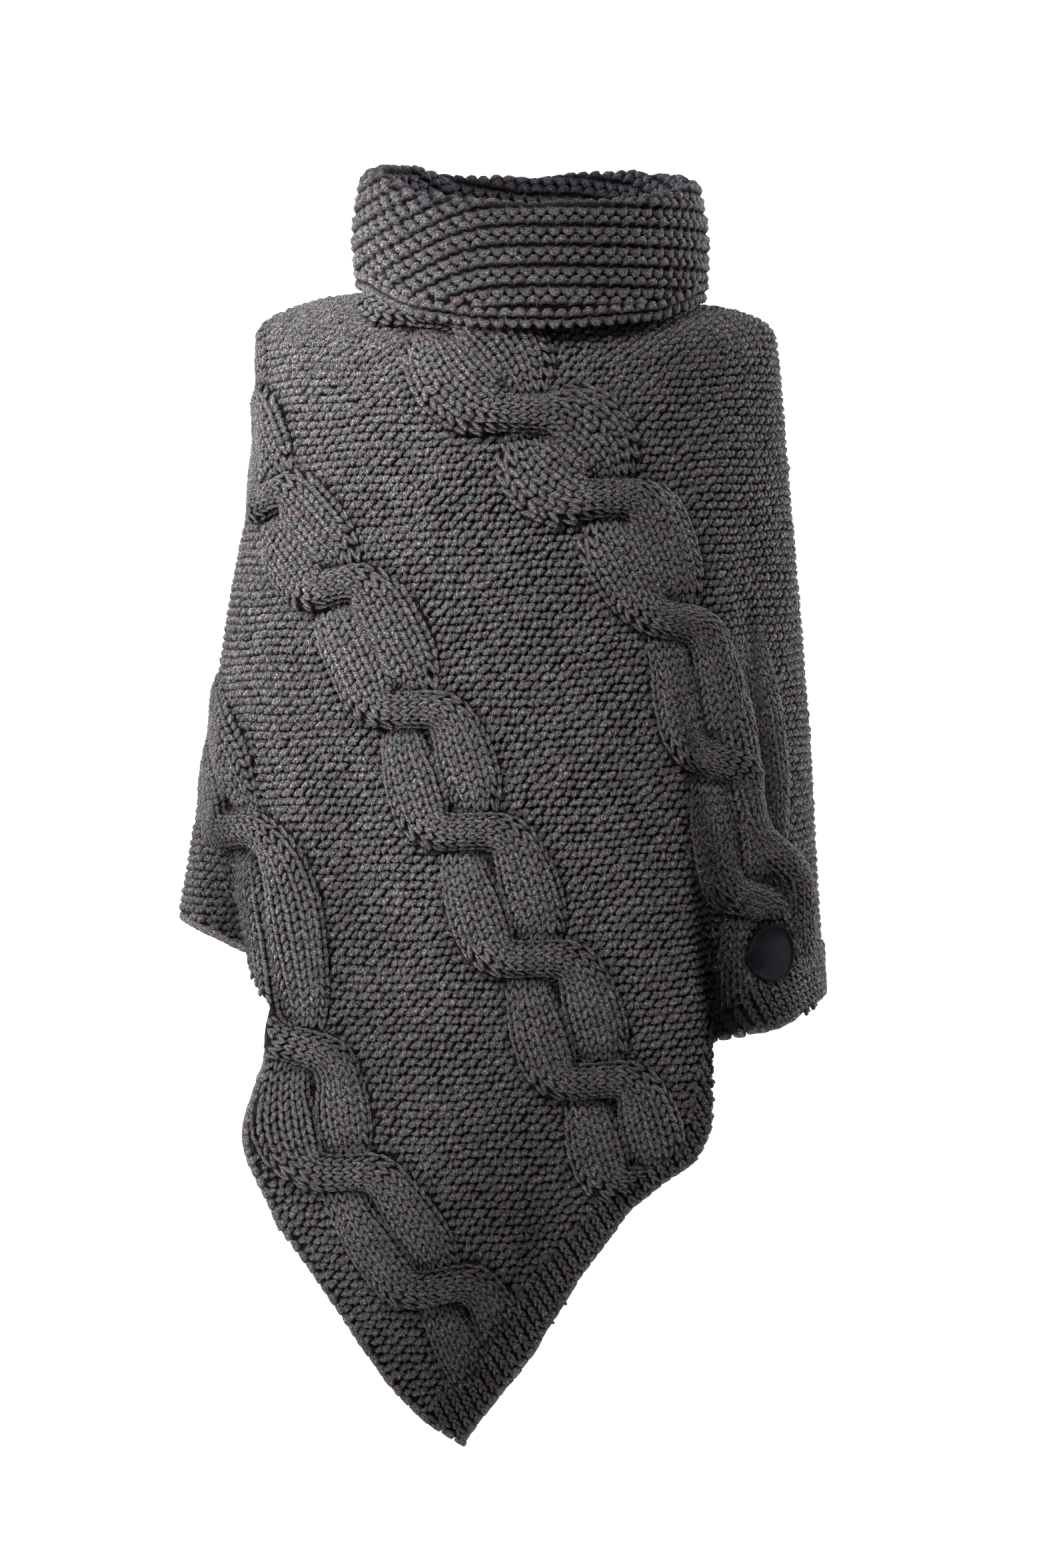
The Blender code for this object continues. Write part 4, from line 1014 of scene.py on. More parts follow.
def strand_legs(name, strand, facing):
    """Each leg of yarn in one strand: flat place, heading, height, the height's climb
    along and across, the strand's half width, lean to one side, and stretch."""
    path, half, top = strand_line(name, strand, facing)
    run = length_run(path)
    places = np.arange(0.5 * LEG_ROW, run[-1], LEG_ROW)
    rows = along_line(places, run, path)
    course = unit(along_line(places, run, unit(np.gradient(path, axis=0))))
    half, top = np.interp(places, run, half), np.interp(places, run, top)
    right = np.stack([-course[:, 1], course[:, 0]], axis=-1)
    legs = []
    for k in range(2 * STRAND_COLUMNS[name]):
        share = (k + 0.5) / STRAND_COLUMNS[name] - 1.0
        inner = 1.0 - abs(share) ** STRAND_SHAPE[0]
        arch = inner ** STRAND_SHAPE[1]
        slope = (-STRAND_SHAPE[0] * STRAND_SHAPE[1] * np.sign(share)
                 * abs(share) ** (STRAND_SHAPE[0] - 1.0) * inner ** (STRAND_SHAPE[1] - 1.0))
        spot = rows + right * (share * half)[:, None]
        stretch = np.hypot(*np.gradient(spot, axis=0).T) / LEG_ROW
        legs.append(np.column_stack([
            spot, course, top * arch, np.gradient(top, LEG_ROW) * arch, top * slope / half,
            half * FULL_COLUMNS / STRAND_COLUMNS[name],
            np.full(len(rows), 1.0 if k % 2 == 0 else -1.0), np.clip(stretch, 0.7, 1.6)]))
    return np.vstack(legs)


for side, seed in (("front", 21), ("back", 22)):
    legs = np.vstack([strand_legs(name, strand, FACES[side])
                      for name in CABLES for strand in (0, 1)])
    angle, fall, net, found = SIDES[side].find(legs[:, :2])
    share = cable_share(angle, fall)
    cover = cable_field(*legs[:, :2].T, np.full(len(legs), FACES[side]))
    found &= ((distance_to(net, OUTLINE) > 3.0) & (share > 0.12)
              & (cover - legs[:, 4] < HIDDEN_UNDER))
    legs, angle, fall, share = kept(found, legs, angle, fall, share)
    across, up, _, _, height, climb, slant, half, lean, stretch = legs.T
    course = legs[:, 2:4]
    light = hollow_shade(across, up, FACES[side], height) * fold_shade(angle, across, up)
    point, out, across_step, up_step = cloth_frame(angle, fall)
    along = unit(across_step * course[:, :1] + up_step * course[:, 1:]
                 + out * (climb * share)[:, None])
    right = (across_step * -course[:, 1:] + up_step * course[:, :1]
             + out * (slant * share)[:, None])
    normal = unit(np.cross(right, along))
    normal *= np.sign(np.sum(normal * out, axis=1, keepdims=True))
    right = unit(np.cross(along, normal))
    draw = np.random.default_rng(seed)
    turn = (lean * LEG_TURN + 0.06 * draw.normal(0.0, 1.0, len(lean)))[:, None]
    x_axis, y_axis, z_axis = axes_over(
        unit(along * np.cos(turn) - right * np.sin(turn) + normal * LEG_TILT), normal)
    size = draw.uniform(0.93, 1.07, (len(legs), 1))
    width = size * (half / STRAND_HALF_WIDTH)[:, None] ** 0.8
    lift = height * share + LEG_LIFT + 0.2 * draw.normal(0.0, 1.0, len(legs))
    stitch_piece("cable_stitches_" + side, leg if side == "front" else leg_behind,
                 point + out * lift[:, None],
                 (x_axis * size * stretch[:, None], y_axis * width, z_axis),
                 seed, CABLE_PAINTED_LIGHT * light[:, None], fuzzy=0.9 if side == "front" else 0.0)

# ================================================================= ribbing, edges and seam
# The strip ends in about 40 mm of rib, knit and purl columns by turns, cast off along a
# firm chain. The long sides are plain selvedges, and the strip's end is sewn to its side
# down the left arm with a row of flat seam stitches.
RIB_PITCH = 7.4            # the rib is gathered: each knit column hides the purl one
RIB_ROW = 5.8
RIB_LEG_APART = 1.25
RIB_LIFT = 1.3
RIB_LEG_TURN = np.radians(20.0)
COLUMNS_PAST = (7.5, 5.0)  # rib columns drawn past the two ends of the cast-off
CHAIN_STEP = 7.6
CHAIN_RADIUS = 3.5
CHAIN_TURN = 0.30
SEAM_STEP = 5.2
SEAM_STRETCH = 1.25

chain = yarn_lump(6, 5, 10.6, CHAIN_RADIUS, 0.6, 0.6)
rib_leg = yarn_lump(4, 4, 8.6, 1.7, 0.0, 0.7, 1.3)
cast_flat = lookup(*from_net(CAST_OFF)).T
down_wale = WALE / np.hypot(*WALE)
cast_run = running(np.abs(np.diff(cast_flat @ np.array([-down_wale[1], down_wale[0]]))))
columns = np.arange(-COLUMNS_PAST[0] * RIB_PITCH, cast_run[-1] + COLUMNS_PAST[1] * RIB_PITCH,
                    RIB_PITCH)
starts = along_line(columns, cast_run, cast_flat)
for end, inner, past in ((0, 8, -columns), (-1, -9, columns - cast_run[-1])):
    slope = (cast_flat[end] - cast_flat[inner]) / abs(cast_run[end] - cast_run[inner])
    starts += np.maximum(past, 0.0)[:, None] * slope
steps = np.arange(-4.0 * RIB_ROW, 1.4 * RIB_DEPTH[1], RIB_ROW)
flat = (starts[:, None, :] - steps[None, :, None] * down_wale).reshape(-1, 2)
draw = np.random.default_rng(31)
flat = flat + draw.normal(0.0, 0.18, flat.shape)
angle, fall, net, found = SIDES["front"].find(flat)
rise = cable_rise(angle, fall, *flat.T)
found &= ((rise < CABLE_TOUCH) & (distance_to(net, OUTLINE) > 2.0)
          & (distance_to(net, CAST_OFF) < rib_depth(angle) + 3.0))
angle, fall, rise = kept(found, angle, fall, rise)
point, out, across_step, up_step = cloth_frame(angle, fall)
along = lying_in(unit(across_step * down_wale[0] + up_step * down_wale[1]), out)
beside = np.cross(along, out)
light = fold_shade(angle, *lookup(angle, fall))[:, None]
for side_way, tag in ((1.0, "left"), (-1.0, "right")):
    x_axis = unit(along * np.cos(RIB_LEG_TURN) - beside * (side_way * np.sin(RIB_LEG_TURN))
                  + out * LEG_TILT)
    lift = RIB_LIFT + 0.5 * rise + 0.2 * draw.normal(0.0, 1.0, len(rise))
    stitch_piece("rib_" + tag, rib_leg,
                 point + out * lift[:, None] - beside * (side_way * RIB_LEG_APART),
                 axes_over(x_axis, out), 32, light)


def edge_stitches(name, line, seed):
    """A chain of stitches that wraps the cloth's edge along a line of the net."""
    run = length_run(line)
    angle, fall = from_net(along_line(np.arange(0.5 * CHAIN_STEP, run[-1], CHAIN_STEP),
                                      run, line))
    point, out, _, _ = cloth_frame(angle, fall)
    rise = cable_rise(angle, fall, *lookup(angle, fall))
    point = point + out * (0.5 * (rise - STITCH_SINK - WALL) + 0.8)[:, None]
    along = unit(np.gradient(point, axis=0))
    normal = lying_in(out, along)
    x_axis, y_axis, z_axis = axes_over(
        unit(along * np.cos(CHAIN_TURN) + normal * np.sin(CHAIN_TURN)), normal)
    size = np.random.default_rng(seed).uniform(0.94, 1.08, (len(angle), 1))
    stitch_piece(name, chain, point, (x_axis * size, y_axis * size, z_axis * 1.05), seed)


edge_stitches("cast_off_chain", CAST_OFF, 41)
edge_stitches("selvedge_front", hem_line(HEM[:TIP + 1], 0.0, 3.0), 42)
edge_stitches("selvedge_back", hem_line(BACK_HEM, 0.0, 3.0), 43)

left_side = 0.5 * np.pi
fall = np.concatenate([np.arange(0.1, 1.0, SEAM_STEP / CAP_LENGTH),
                       np.arange(1.0, edge_fall(left_side, -500.0), SEAM_STEP / DROP_LENGTH)])
angle = np.full(len(fall), left_side)
point, out, _, _ = cloth_frame(angle, fall)
x_axis = lying_in(cloth_point(angle + 0.02, fall) - cloth_point(angle - 0.02, fall), out)
stitch_piece("side_seam", bump, point + out * (BUMP_LIFT - 0.6),
             (x_axis * SEAM_STRETCH, np.cross(out, x_axis), out), 44)

# ================================================================= cowl: folded garter band
# A wide garter-stitch band is sewn on round the neck and folded outward over itself, so
# it stands as a soft ring of ridges. Left of the front it is folded on the slant, and
# there the ridges run down from the fold. First comes the cloth under the stitches.
COWL_POWER = 2.15
RIM_HEIGHT = (             # angle round the neck, height
    (-180.0, 113.5), (-153.0, 113.0), (-132.0, 119.5), (-112.0, 117.0), (-90.0, 109.5),
    (-75.0, 107.0), (-59.0, 102.5), (-52.0, 97.0), (-45.0, 90.0), (-26.0, 84.5),
    (-14.0, 81.5), (0.0, 79.5), (21.0, 81.0), (39.0, 84.5), (49.0, 89.0), (61.0, 93.0),
    (80.0, 98.5), (90.0, 101.5), (103.0, 107.0), (121.0, 111.0), (139.0, 116.0),
    (162.0, 116.0), (180.0, 113.5),
)
COWL_EDGE_HEIGHT = (
    (-180.0, 12.0), (-130.0, 19.0), (-90.0, 25.0), (-65.0, 17.0), (-41.0, -1.0),
    (-15.0, -10.0), (10.0, -11.0), (45.0, -3.5), (70.0, 10.0), (90.0, 14.0),
    (130.0, 13.0), (180.0, 12.0),
)
COWL_OUTER = {"left": 132.0, "right": 138.0, "front": 118.0, "back": 115.0}
COWL_NECK = {"left": 107.0, "right": 113.0, "front": 84.0, "back": 90.0}
COWL_RIM_TUCK = 9.0
COWL_EDGE_TUCK = 4.0
COWL_SINK = 3.0            # the cloth lies this far inside the stitches' tops
COWL_FOLD_INSET = 15.0     # the fold's crown stands this far inside the fullest part
COWL_FOLD_HALF = 4.6
COWL_THICKNESS = 2.6
COWL_COLUMNS = 120
GARTER_ROW = 7.3
GARTER_STITCH = 10.2
GARTER_WAVE = 1.4
SLANT = 0.52
SLANT_FROM = 45.0
SLANT_SOFT = 12.0
# painted shade, with a bluish cast, on the stitches inside the fold and on the neck seam
COWL_PAINTED_SHADE_INSIDE = np.array([0.62, 0.64, 0.74])


def height_round(angle, rows):
    degrees = np.degrees(np.mod(angle + np.pi, 2.0 * np.pi) - np.pi)
    return np.interp(degrees, *np.array(rows).T)


def cowl_ring(sizes, angle, grow):
    return body_ring(angle, sizes, COWL_POWER, grow)


def cowl_surface(angle, turn):
    """The cloth's outer face: turn 0 to 1 rises on the outer layer, 1 to 2 rounds the
    fold and 2 to 3 goes down the inner layer to the seam."""
    edge = height_round(angle, COWL_EDGE_HEIGHT) + 1.5
    seam = by_direction(angle, NECK_HEIGHT) + SEAM_GAP + 1.0
    bend = height_round(angle, RIM_HEIGHT) - COWL_SINK - COWL_FOLD_HALF
    up = np.clip(turn, 0.0, 1.0)
    tuck = COWL_RIM_TUCK * up ** 3 + COWL_EDGE_TUCK * (1.0 - up) ** 3
    joint = COWL_FOLD_INSET - COWL_FOLD_HALF - COWL_RIM_TUCK - COWL_SINK
    outer = (*cowl_ring(COWL_OUTER, angle, -tuck - COWL_SINK - joint * up ** 6),
             edge + (bend - edge) * up)
    over = np.pi * np.clip(turn - 1.0, 0.0, 1.0)
    fold = (*cowl_ring(COWL_OUTER, angle, COWL_FOLD_HALF * np.cos(over) - COWL_FOLD_INSET),
            bend + COWL_FOLD_HALF * np.sin(over))
    high = 1.0 - np.clip(turn - 2.0, 0.0, 1.0)
    low = cowl_ring(COWL_NECK, angle, COWL_SINK - 6.0 * high * (1.0 - high))
    top = cowl_ring(COWL_OUTER, angle, -COWL_FOLD_INSET - COWL_FOLD_HALF)
    inner = (*(a + (b - a) * high * high for a, b in zip(low, top)),
             seam + (bend - seam) * high)
    return np.stack([np.where(turn <= 1.0, a, np.where(turn <= 2.0, b, c))
                     for a, b, c in zip(outer, fold, inner)], axis=-1)


def cowl_drop(angle):
    """How far the ridges have run down on the slanted fold."""
    def run_down(x):
        return SLANT * SLANT_SOFT * np.log1p(np.exp((x - SLANT_FROM) / SLANT_SOFT))

    behind = np.mod(-angle - 0.5 * np.pi, 2.0 * np.pi) / np.pi
    return np.where(np.cos(angle) >= 0.0, run_down(-cowl_ring(COWL_OUTER, angle, -COWL_SINK)[0]),
                    run_down(COWL_OUTER["left"] - COWL_SINK) * (1.0 - smooth_step(0.0, 1.0, behind)))


def cowl_normal(angle, turn):
    """Directions at a point of the cowl: outward, round the neck and up the cloth."""
    step = 1e-3
    ring = cowl_surface(angle + step, turn) - cowl_surface(angle - step, turn)
    climb = (cowl_surface(angle, np.minimum(turn + step, 3.0))
             - cowl_surface(angle, np.maximum(turn - step, 0.0)))
    return unit(np.cross(ring, climb)), unit(ring), unit(climb)


cowl_turns = np.concatenate([np.linspace(0.0, 1.0, 25), np.linspace(1.0, 2.0, 9)[1:],
                             np.linspace(2.0, 3.0, 21)[1:]])
cowl_angles = np.radians(np.linspace(-180.0, 180.0, COWL_COLUMNS + 1))
grid_angle, grid_turn = np.meshgrid(cowl_angles, cowl_turns)
grid_point = cowl_surface(grid_angle, grid_turn)
grid_run = length_run(grid_point)
grid_row = (grid_point[:1, :, 2] + grid_run + cowl_drop(grid_angle)) / GARTER_ROW
grid_wave = 0.5 * GARTER_WAVE * (np.cos(np.pi * (grid_row - 0.5)) - 1.0)
around = length_run(grid_point[12])

bm = bmesh.new()
cowl_layer = bm.loops.layers.uv.new("flat_cloth")
rings = []
for offset in (grid_wave, np.full_like(grid_wave, -COWL_THICKNESS)):
    spots = (grid_point + cowl_normal(grid_angle, grid_turn)[0] * offset[..., None]) * MM
    rings.append([[bm.verts.new(spot) for spot in row[:-1].tolist()] for row in spots])
for rows in rings:
    for r in range(len(rows) - 1):
        for c in range(COWL_COLUMNS):
            corners = ((r, c), (r, c + 1), (r + 1, c + 1), (r + 1, c))
            made = bm.faces.new([rows[i][j % COWL_COLUMNS] for i, j in corners])
            for loop, (row, column) in zip(made.loops, corners):
                loop[cowl_layer].uv = (around[column] / GARTER_STITCH,
                                       grid_run[row, column] / (2.0 * GARTER_ROW))
for outer, inner in ((rings[0][0], rings[1][0]), (rings[0][-1], rings[1][-1])):
    for c in range(COWL_COLUMNS):
        d = (c + 1) % COWL_COLUMNS
        bm.faces.new((outer[c], outer[d], inner[d], inner[c]))
# the cowl's cloth takes the painted shade between the stitches all over
cowl_cloth = add_solid("cowl_cloth", bm, CLOTH, "cowl",
                       np.tile(PAINTED_SHADE_BETWEEN_STITCHES, (len(bm.verts), 1)))

# ================================================================= cowl: garter stitches
# Every ridge of garter stitch is two rows of short bumps, the upper row arching up and the
# lower row arching down half a stitch away, with a dark groove under each pair, shaded and
# darkened further by the painted shade of the cloth and of the bumps' low ends. The stitches
# inside the fold get painted shade. A row of picked-up stitches joins the cowl to the neck
# and closes the seam.
GARTER_LENGTH = 12.4
GARTER_RADIUS = 3.65
GARTER_ARCH = 1.7
GARTER_DIVE = 3.0
GARTER_LIFT = 0.7
GARTER_LEAN = 0.30         # the two rows of a ridge lean apart
EDGE_RIDGE = (0.8, 7.2)    # the free edge ends in a ridge that follows it
EDGE_RIDGE_TOP = 11.0
SEAM_CLEAR = 4.0
FINE_COLUMNS = 721
NECK_SEAM_STEP = 5.4
NECK_SEAM_INSET = 1.0
NECK_SEAM_DROP = 1.5
NECK_SEAM_LEAN = 0.35

garter = yarn_lump(6, 5, GARTER_LENGTH, GARTER_RADIUS, GARTER_ARCH, GARTER_DIVE)
fine_angle = np.radians(np.linspace(-180.0, 180.0, FINE_COLUMNS))
column_run = along_line(fine_angle, cowl_angles, grid_run.T).T
column_base = np.interp(fine_angle, cowl_angles, grid_point[0, :, 2])
rows = [(row, row * GARTER_ROW - cowl_drop(fine_angle) - column_base, 1.0)
        for row in range(int(np.floor(grid_row.min())), int(np.ceil(grid_row.max())) + 1)]
rows += [(row, np.full(FINE_COLUMNS, height), 0.0) for row, height in enumerate(EDGE_RIDGE)]
places = []
for row, want, slanted in rows:
    valid = (want > EDGE_RIDGE_TOP * slanted) & (want < column_run[-1] - SEAM_CLEAR)
    if not valid.any():
        continue
    turn = np.array([np.interp(w, column_run[:, k], cowl_turns) for k, w in enumerate(want)])
    run = length_run(cowl_surface(fine_angle, turn))
    count = max(8, int(round(run[-1] / GARTER_STITCH)))
    pitch = run[-1] / count
    spots = np.mod(run[len(run) // 2] + pitch * (np.arange(count) + 0.5 * (row % 2)), run[-1])
    ok = np.interp(spots, run, valid.astype(float)) > 0.5
    places.append(np.column_stack([np.interp(spots, run, fine_angle),
                                   np.interp(spots, run, turn),
                                   np.tile((row, pitch, slanted), (count, 1))])[ok])
angle, turn, row, pitch, slanted = np.vstack(places).T
point = cowl_surface(angle, turn)
out, ring, climb = cowl_normal(angle, turn)
draw = np.random.default_rng(51)
slope = (cowl_drop(angle + 0.01) - cowl_drop(angle - 0.01)) / np.linalg.norm(
    cowl_surface(angle + 0.01, turn) - cowl_surface(angle - 0.01, turn), axis=1)
x_axis = unit(ring - climb * (slope * slanted)[:, None]
              + 0.07 * draw.normal(0.0, 1.0, (len(angle), 1)) * climb)
tip = np.where(np.mod(row, 2.0) > 0.5, 1.0, -1.0)[:, None]
normal = unit(out + unit(np.cross(out, x_axis)) * (GARTER_LEAN * tip))
up_axis = unit(np.cross(normal, x_axis))
size = draw.uniform(0.94, 1.07, (len(angle), 1))
lift = GARTER_LIFT + 0.3 * draw.normal(0.0, 1.0, len(angle))
inside = smooth_step(1.3, 2.0, turn)[:, None]
garter_piece = stitch_piece(
    "garter_stitches", garter, point + out * lift[:, None] - up_axis * (0.15 * tip),
    (x_axis * tip * (pitch / GARTER_STITCH)[:, None] * size, up_axis * tip * size, normal),
    52, 1.0 - (1.0 - COWL_PAINTED_SHADE_INSIDE) * inside, fuzzy=0.8)

run = length_run(cowl_surface(fine_angle, np.full(FINE_COLUMNS, 3.0)))
count = int(round(run[-1] / NECK_SEAM_STEP))
angle = np.interp((np.arange(count) + 0.5) * run[-1] / count, run, fine_angle)
turn = np.full(count, 3.0)
out, ring, climb = cowl_normal(angle, turn - 0.02)
stitch_piece("neck_seam", chain,
             cowl_surface(angle, turn) - out * NECK_SEAM_INSET + climb * NECK_SEAM_DROP,
             (unit(ring + NECK_SEAM_LEAN * climb), unit(climb - NECK_SEAM_LEAN * ring), out),
             53, COWL_PAINTED_SHADE_INSIDE[None, :])

# ================================================================= badge: sewn-on round patch
# A small black twill patch with an overcast border, sewn on near the lower edge. It lies
# along the cloth's bend. Its face is left plain.
BADGE_COLUMNS = 96
BADGE_RING_SHARES = (0.0, 0.2, 0.4, 0.6, 0.78, 0.86, 0.875, 0.905, 0.94, 0.97, 0.99, 1.0)
BADGE_RING_HEIGHTS = (0.0, 0.0, 0.0, 0.0, 0.0, 0.0, 0.25, 0.7, 0.85, 0.65, 0.2, -0.5)
BACK_RINGS = 10
BADGE_DEEP = 1.9
BADGE_FLAT_SHARE = 0.82    # past this share of the radius the bed is drawn on straight
THREAD_COUNT = 110
THREAD_LENGTH = 3.0
THREAD_RADIUS = 0.50
TWILL_BLACK = (0.0035, 0.0040, 0.0058)
TWILL_GREY = (0.026, 0.028, 0.038)
THREAD_BLACK = (0.0045, 0.0046, 0.0056)

badge_twill, tree, shader = wool_base("badge_twill", 0.8, 0.0, 0.08)
turned = node(tree, "Mapping", {"Vector": node(tree, "TexCoord", {}).outputs["Object"],
                                "Rotation": (0.0, np.radians(52.0), 0.0)})
ribs = node(tree, "TexWave", {"Vector": turned.outputs["Vector"], "Scale": 380.0,
                              "Distortion": 1.5, "Detail": 2.0}, bands_direction="X")
set_inputs(tree, shader, {
    "Base Color": ramp(tree, ribs.outputs["Fac"], (0.15, TWILL_BLACK), (0.95, TWILL_GREY)),
    "Normal": relief(tree, ribs.outputs["Fac"], 0.7, 0.0004)})


def badge_spot(share, turn, height):
    """Point over the patch's bed: share of its radius, turn round it, height in mm."""
    upward = Vector((0.0, 0.0, 1.0))
    rim = ((upward.cross(badge_out) * np.cos(turn) + upward * np.sin(turn))
           * (BADGE_RADIUS * MM))
    reach = min(share, BADGE_FLAT_SHARE)
    inner = badge_face(rim * reach)
    slope = (inner - badge_face(rim * (reach - 0.1))) / 0.1
    return inner + slope * (share - reach) + badge_out * (height * MM)


bm = bmesh.new()
turns = 2.0 * np.pi * np.arange(BADGE_COLUMNS) / BADGE_COLUMNS
front = list(zip(BADGE_RING_SHARES, BADGE_RING_HEIGHTS))
rims = []
for stack in (front, [(share, -BADGE_DEEP) for share in BADGE_RING_SHARES[:BACK_RINGS]]):
    rows = [[bm.verts.new(badge_spot(share, turn, height)) for turn in turns]
            for share, height in stack[1:]]
    middle = bm.verts.new(badge_spot(0.0, 0.0, stack[0][1]))
    for k in range(BADGE_COLUMNS):
        bm.faces.new((middle, rows[0][k - 1], rows[0][k]))
        for near, far in zip(rows, rows[1:]):
            bm.faces.new((near[k - 1], far[k - 1], far[k], near[k]))
    rims.append(rows[-1])
for k in range(BADGE_COLUMNS):
    bm.faces.new((rims[0][k - 1], rims[1][k - 1], rims[1][k], rims[0][k]))
badge_patch = add_solid("badge_patch", bm, badge_twill, "badge")

badge_thread = yarn_material("badge_thread", (0.06, 0.062, 0.075), THREAD_BLACK,
                             (0.002, 0.002, 0.003), 0.3)
turns = 2.0 * np.pi * np.arange(THREAD_COUNT) / THREAD_COUNT
spots = np.array([badge_spot(0.94, turn, 0.75) for turn in turns]) / MM
ends = np.array([badge_spot(0.99, turn + 0.02, 0.75) for turn in turns]) / MM
border = stitch_piece("badge_border", yarn_lump(6, 5, THREAD_LENGTH, THREAD_RADIUS, 0.0, 0.55),
                      spots, axes_over(unit(ends - spots), np.array(badge_out)), 61,
                      rough=0.03, material=badge_thread)

# ================================================================= stray fibres
# Wool yarn is hairy: fine pale fibres stand off the stitches and curl over their
# neighbours. Each is a thin strip, rooted in a stitch and tapering to its tip.
BADGE_FIBRE_CLEAR = 28.0
FIBRE_LENGTH = (3.5, 8.0)
FIBRE_WIDTH = 0.26
FIBRE_STEPS = 3
FIBRE_STAND = (0.1, 0.9)
FIBRE_CURL = 0.9
FIBRE_ROOT = 1.9           # the fibre leaves its stitch this far out

fibre_wool, tree, shader = wool_base("stray_fibre", 0.9)
set_inputs(tree, shader, {"Base Color": ramp(
    tree, attribute(tree, "cast", "Fac"), (0.0, (0.10, 0.095, 0.098)),
    (0.5, (0.34, 0.335, 0.33)), (1.0, (0.38, 0.38, 0.39)))})

roots = np.vstack(fuzz_roots)
from_badge = np.linalg.norm(roots[:, :3] - np.array(badge_middle) / MM, axis=1)
roots = roots[from_badge > BADGE_FIBRE_CLEAR]
draw = np.random.default_rng(71)
count = len(roots)
place = roots[:, :3]
x_axis, y_axis, z_axis = (unit(roots[:, k:k + 3]) for k in (3, 6, 9))
around = draw.uniform(-0.9, 0.9, (count, 1))
outward = unit(z_axis * np.cos(around) + y_axis * np.sin(around))
root = place + x_axis * draw.uniform(-3.0, 3.0, (count, 1)) + outward * FIBRE_ROOT
turn = draw.uniform(0.0, 2.0 * np.pi, (count, 1))
heading = x_axis * np.cos(turn) + unit(np.cross(outward, x_axis)) * np.sin(turn)
beside = np.cross(outward, heading)
bend = draw.normal(0.0, FIBRE_CURL, (count, 1))
length = draw.uniform(*FIBRE_LENGTH, (count, 1))
stand = draw.uniform(*FIBRE_STAND, (count, 1))
rows = []
for step in range(FIBRE_STEPS):
    part = step / FIBRE_STEPS
    wide = beside * (0.5 * FIBRE_WIDTH * (1.0 - 0.6 * part))
    rows += [root - wide, root + wide]
    ahead = heading * np.cos(bend * part) + beside * np.sin(bend * part)
    root = root + unit(ahead + outward * stand * (1.0 - 1.6 * part)) * length / FIBRE_STEPS
rows.append(root)
tip = 2 * FIBRE_STEPS
faces = [(k, k + 2, k + 3, k + 1) for k in range(0, tip - 2, 2)] + [(tip - 2, tip, tip - 1)]
mesh = joined_mesh("stray_fibres", np.stack(rows, axis=1) * MM, faces, draw)
mesh.validate()
add_piece("stray_fibres", mesh, fibre_wool)

# ================================================================= floor, light and camera
# A plain pale floor that curves up behind, six soft lamps on the garment, two on the
# backdrop, and the camera.
FLOOR_HEIGHT = -0.98
FLOOR_HALF_WIDTH = 7.0
FLOOR_FRONT = -6.0
BACKDROP_AT = 2.6
BACKDROP_RADIUS = 1.2
BACKDROP_RISE = 5.0

floor_material = bpy.data.materials.new("pale_floor")
floor_material.use_nodes = True
set_inputs(floor_material.node_tree, floor_material.node_tree.nodes["Principled BSDF"],
           {"Base Color": (0.93, 0.93, 0.93, 1.0), "Roughness": 0.9})


def drawn_out(bm, edges, move):
    """Draws edges out into a strip, and gives the strip's new edge."""
    made = bmesh.ops.extrude_edge_only(bm, edges=edges)["geom"]
    bmesh.ops.translate(bm, verts=[v for v in made if isinstance(v, bmesh.types.BMVert)],
                        vec=move)
    return next(e for e in made if isinstance(e, bmesh.types.BMEdge))


bm = bmesh.new()
front_edge = bm.edges.new([bm.verts.new((x, FLOOR_FRONT, FLOOR_HEIGHT))
                           for x in (-FLOOR_HALF_WIDTH, FLOOR_HALF_WIDTH)])
edge = drawn_out(bm, [front_edge], (0.0, BACKDROP_AT - FLOOR_FRONT, 0.0))
curve = bmesh.ops.spin(bm, geom=[edge] + list(edge.verts), angle=np.radians(90.0), steps=16,
                       axis=(1.0, 0.0, 0.0),
                       cent=(0.0, BACKDROP_AT, FLOOR_HEIGHT + BACKDROP_RADIUS))
drawn_out(bm, [e for e in curve["geom_last"] if isinstance(e, bmesh.types.BMEdge)],
          (0.0, 0.0, BACKDROP_RISE))
bmesh.ops.recalc_face_normals(bm, faces=bm.faces)
floor_mesh = bpy.data.meshes.new("floor")
bm.to_mesh(floor_mesh)
bm.free()
floor_mesh.polygons.foreach_set("use_smooth", np.ones(len(floor_mesh.polygons), bool))
floor_mesh.materials.append(floor_material)
floor = bpy.data.objects.new("floor", floor_mesh)
bpy.context.scene.collection.objects.link(floor)

world = bpy.data.worlds.new("studio")
bpy.context.scene.world = world
world.use_nodes = True
set_inputs(world.node_tree, world.node_tree.nodes["Background"],
           {"Color": (1.0, 1.0, 1.0, 1.0), "Strength": 0.03})

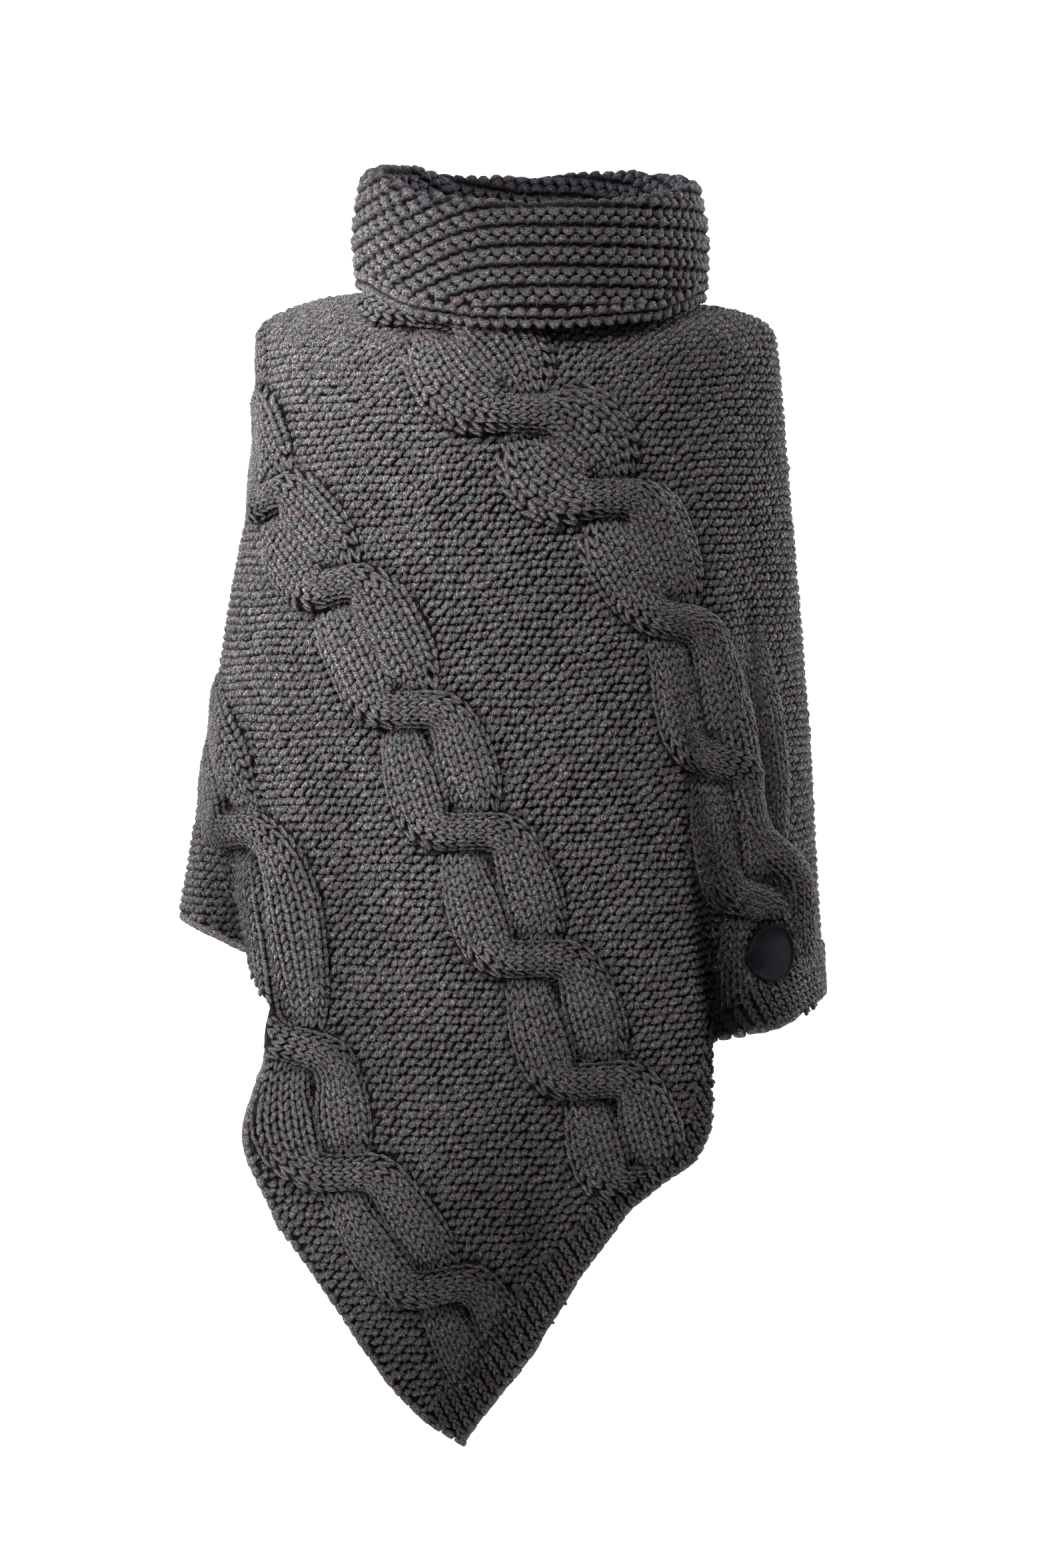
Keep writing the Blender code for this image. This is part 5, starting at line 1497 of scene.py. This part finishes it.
# name, place, aim, size, power, colour, spread in degrees
LAMPS = (
    ("key_lamp", (-0.7, -1.1, 0.9), (-0.05, -0.1, -0.2), (0.2, 0.2), 8.8, WHITE, 180.0),
    ("side_lamp", (-1.25, -1.55, 0.45), (-0.125, -0.1, -0.26), (0.05, 0.6), 0.52,
     (0.99, 1.0, 1.0), 14.0),
    ("front_lamp", (-0.5, -2.1, 1.2), (0.13, -0.1, -0.32), (0.05, 0.6), 0.20, WHITE, 14.0),
    ("high_lamp", (-0.7, -1.6, 1.5), (-0.10, -0.1, -0.26), (0.05, 0.6), 0.16, WHITE, 12.0),
    ("shoulder_lamp", (-0.6, -2.0, 0.6), (-0.15, 0.0, -0.02), (0.1, 0.1), 0.07, WHITE, 9.0),
    ("corner_lamp", (-0.6, -2.2, 0.1), (-0.17, -0.1, -0.62), (0.1, 0.1), 0.05,
     (0.96, 0.99, 1.06), 8.0),
    ("backdrop_lamp_left", (-2.0, 0.9, 0.6), (0.2, 3.6, -0.2), (1.2, 1.2), 170.0, WHITE, 180.0),
    ("backdrop_lamp_right", (2.0, 0.9, 0.6), (-0.2, 3.6, -0.2), (1.2, 1.2), 170.0, WHITE, 180.0),
)
for name, place, aim, size, watts, colour, spread in LAMPS:
    data = bpy.data.lights.new(name, "AREA")
    data.shape = "RECTANGLE"
    data.size, data.size_y = size
    data.energy = watts
    data.color = colour
    data.spread = np.radians(spread)
    lamp = bpy.data.objects.new(name, data)
    lamp.location = place
    lamp.rotation_euler = (Vector(aim) - Vector(place)).to_track_quat("-Z", "Y").to_euler()
    bpy.context.scene.collection.objects.link(lamp)

CAMERA_DISTANCE = 3.5
CAMERA_RISE = np.radians(3.0)
CAMERA_AIM = Vector((-0.003, 0.0, -0.348))
VIEW_HEIGHT = 2352.0 * 0.5 * MM     # half a millimetre to each pixel of the frame
SENSOR_HEIGHT = 24.0
camera_data = bpy.data.cameras.new("camera")
camera_data.sensor_fit = "VERTICAL"
camera_data.sensor_height = SENSOR_HEIGHT
camera_data.lens = SENSOR_HEIGHT * CAMERA_DISTANCE / VIEW_HEIGHT
camera = bpy.data.objects.new("camera", camera_data)
camera.location = CAMERA_AIM + CAMERA_DISTANCE * Vector(
    (0.0, -np.cos(CAMERA_RISE), np.sin(CAMERA_RISE)))
camera.rotation_euler = (np.radians(90.0) - CAMERA_RISE, 0.0, 0.0)
bpy.context.scene.collection.objects.link(camera)
bpy.context.scene.camera = camera
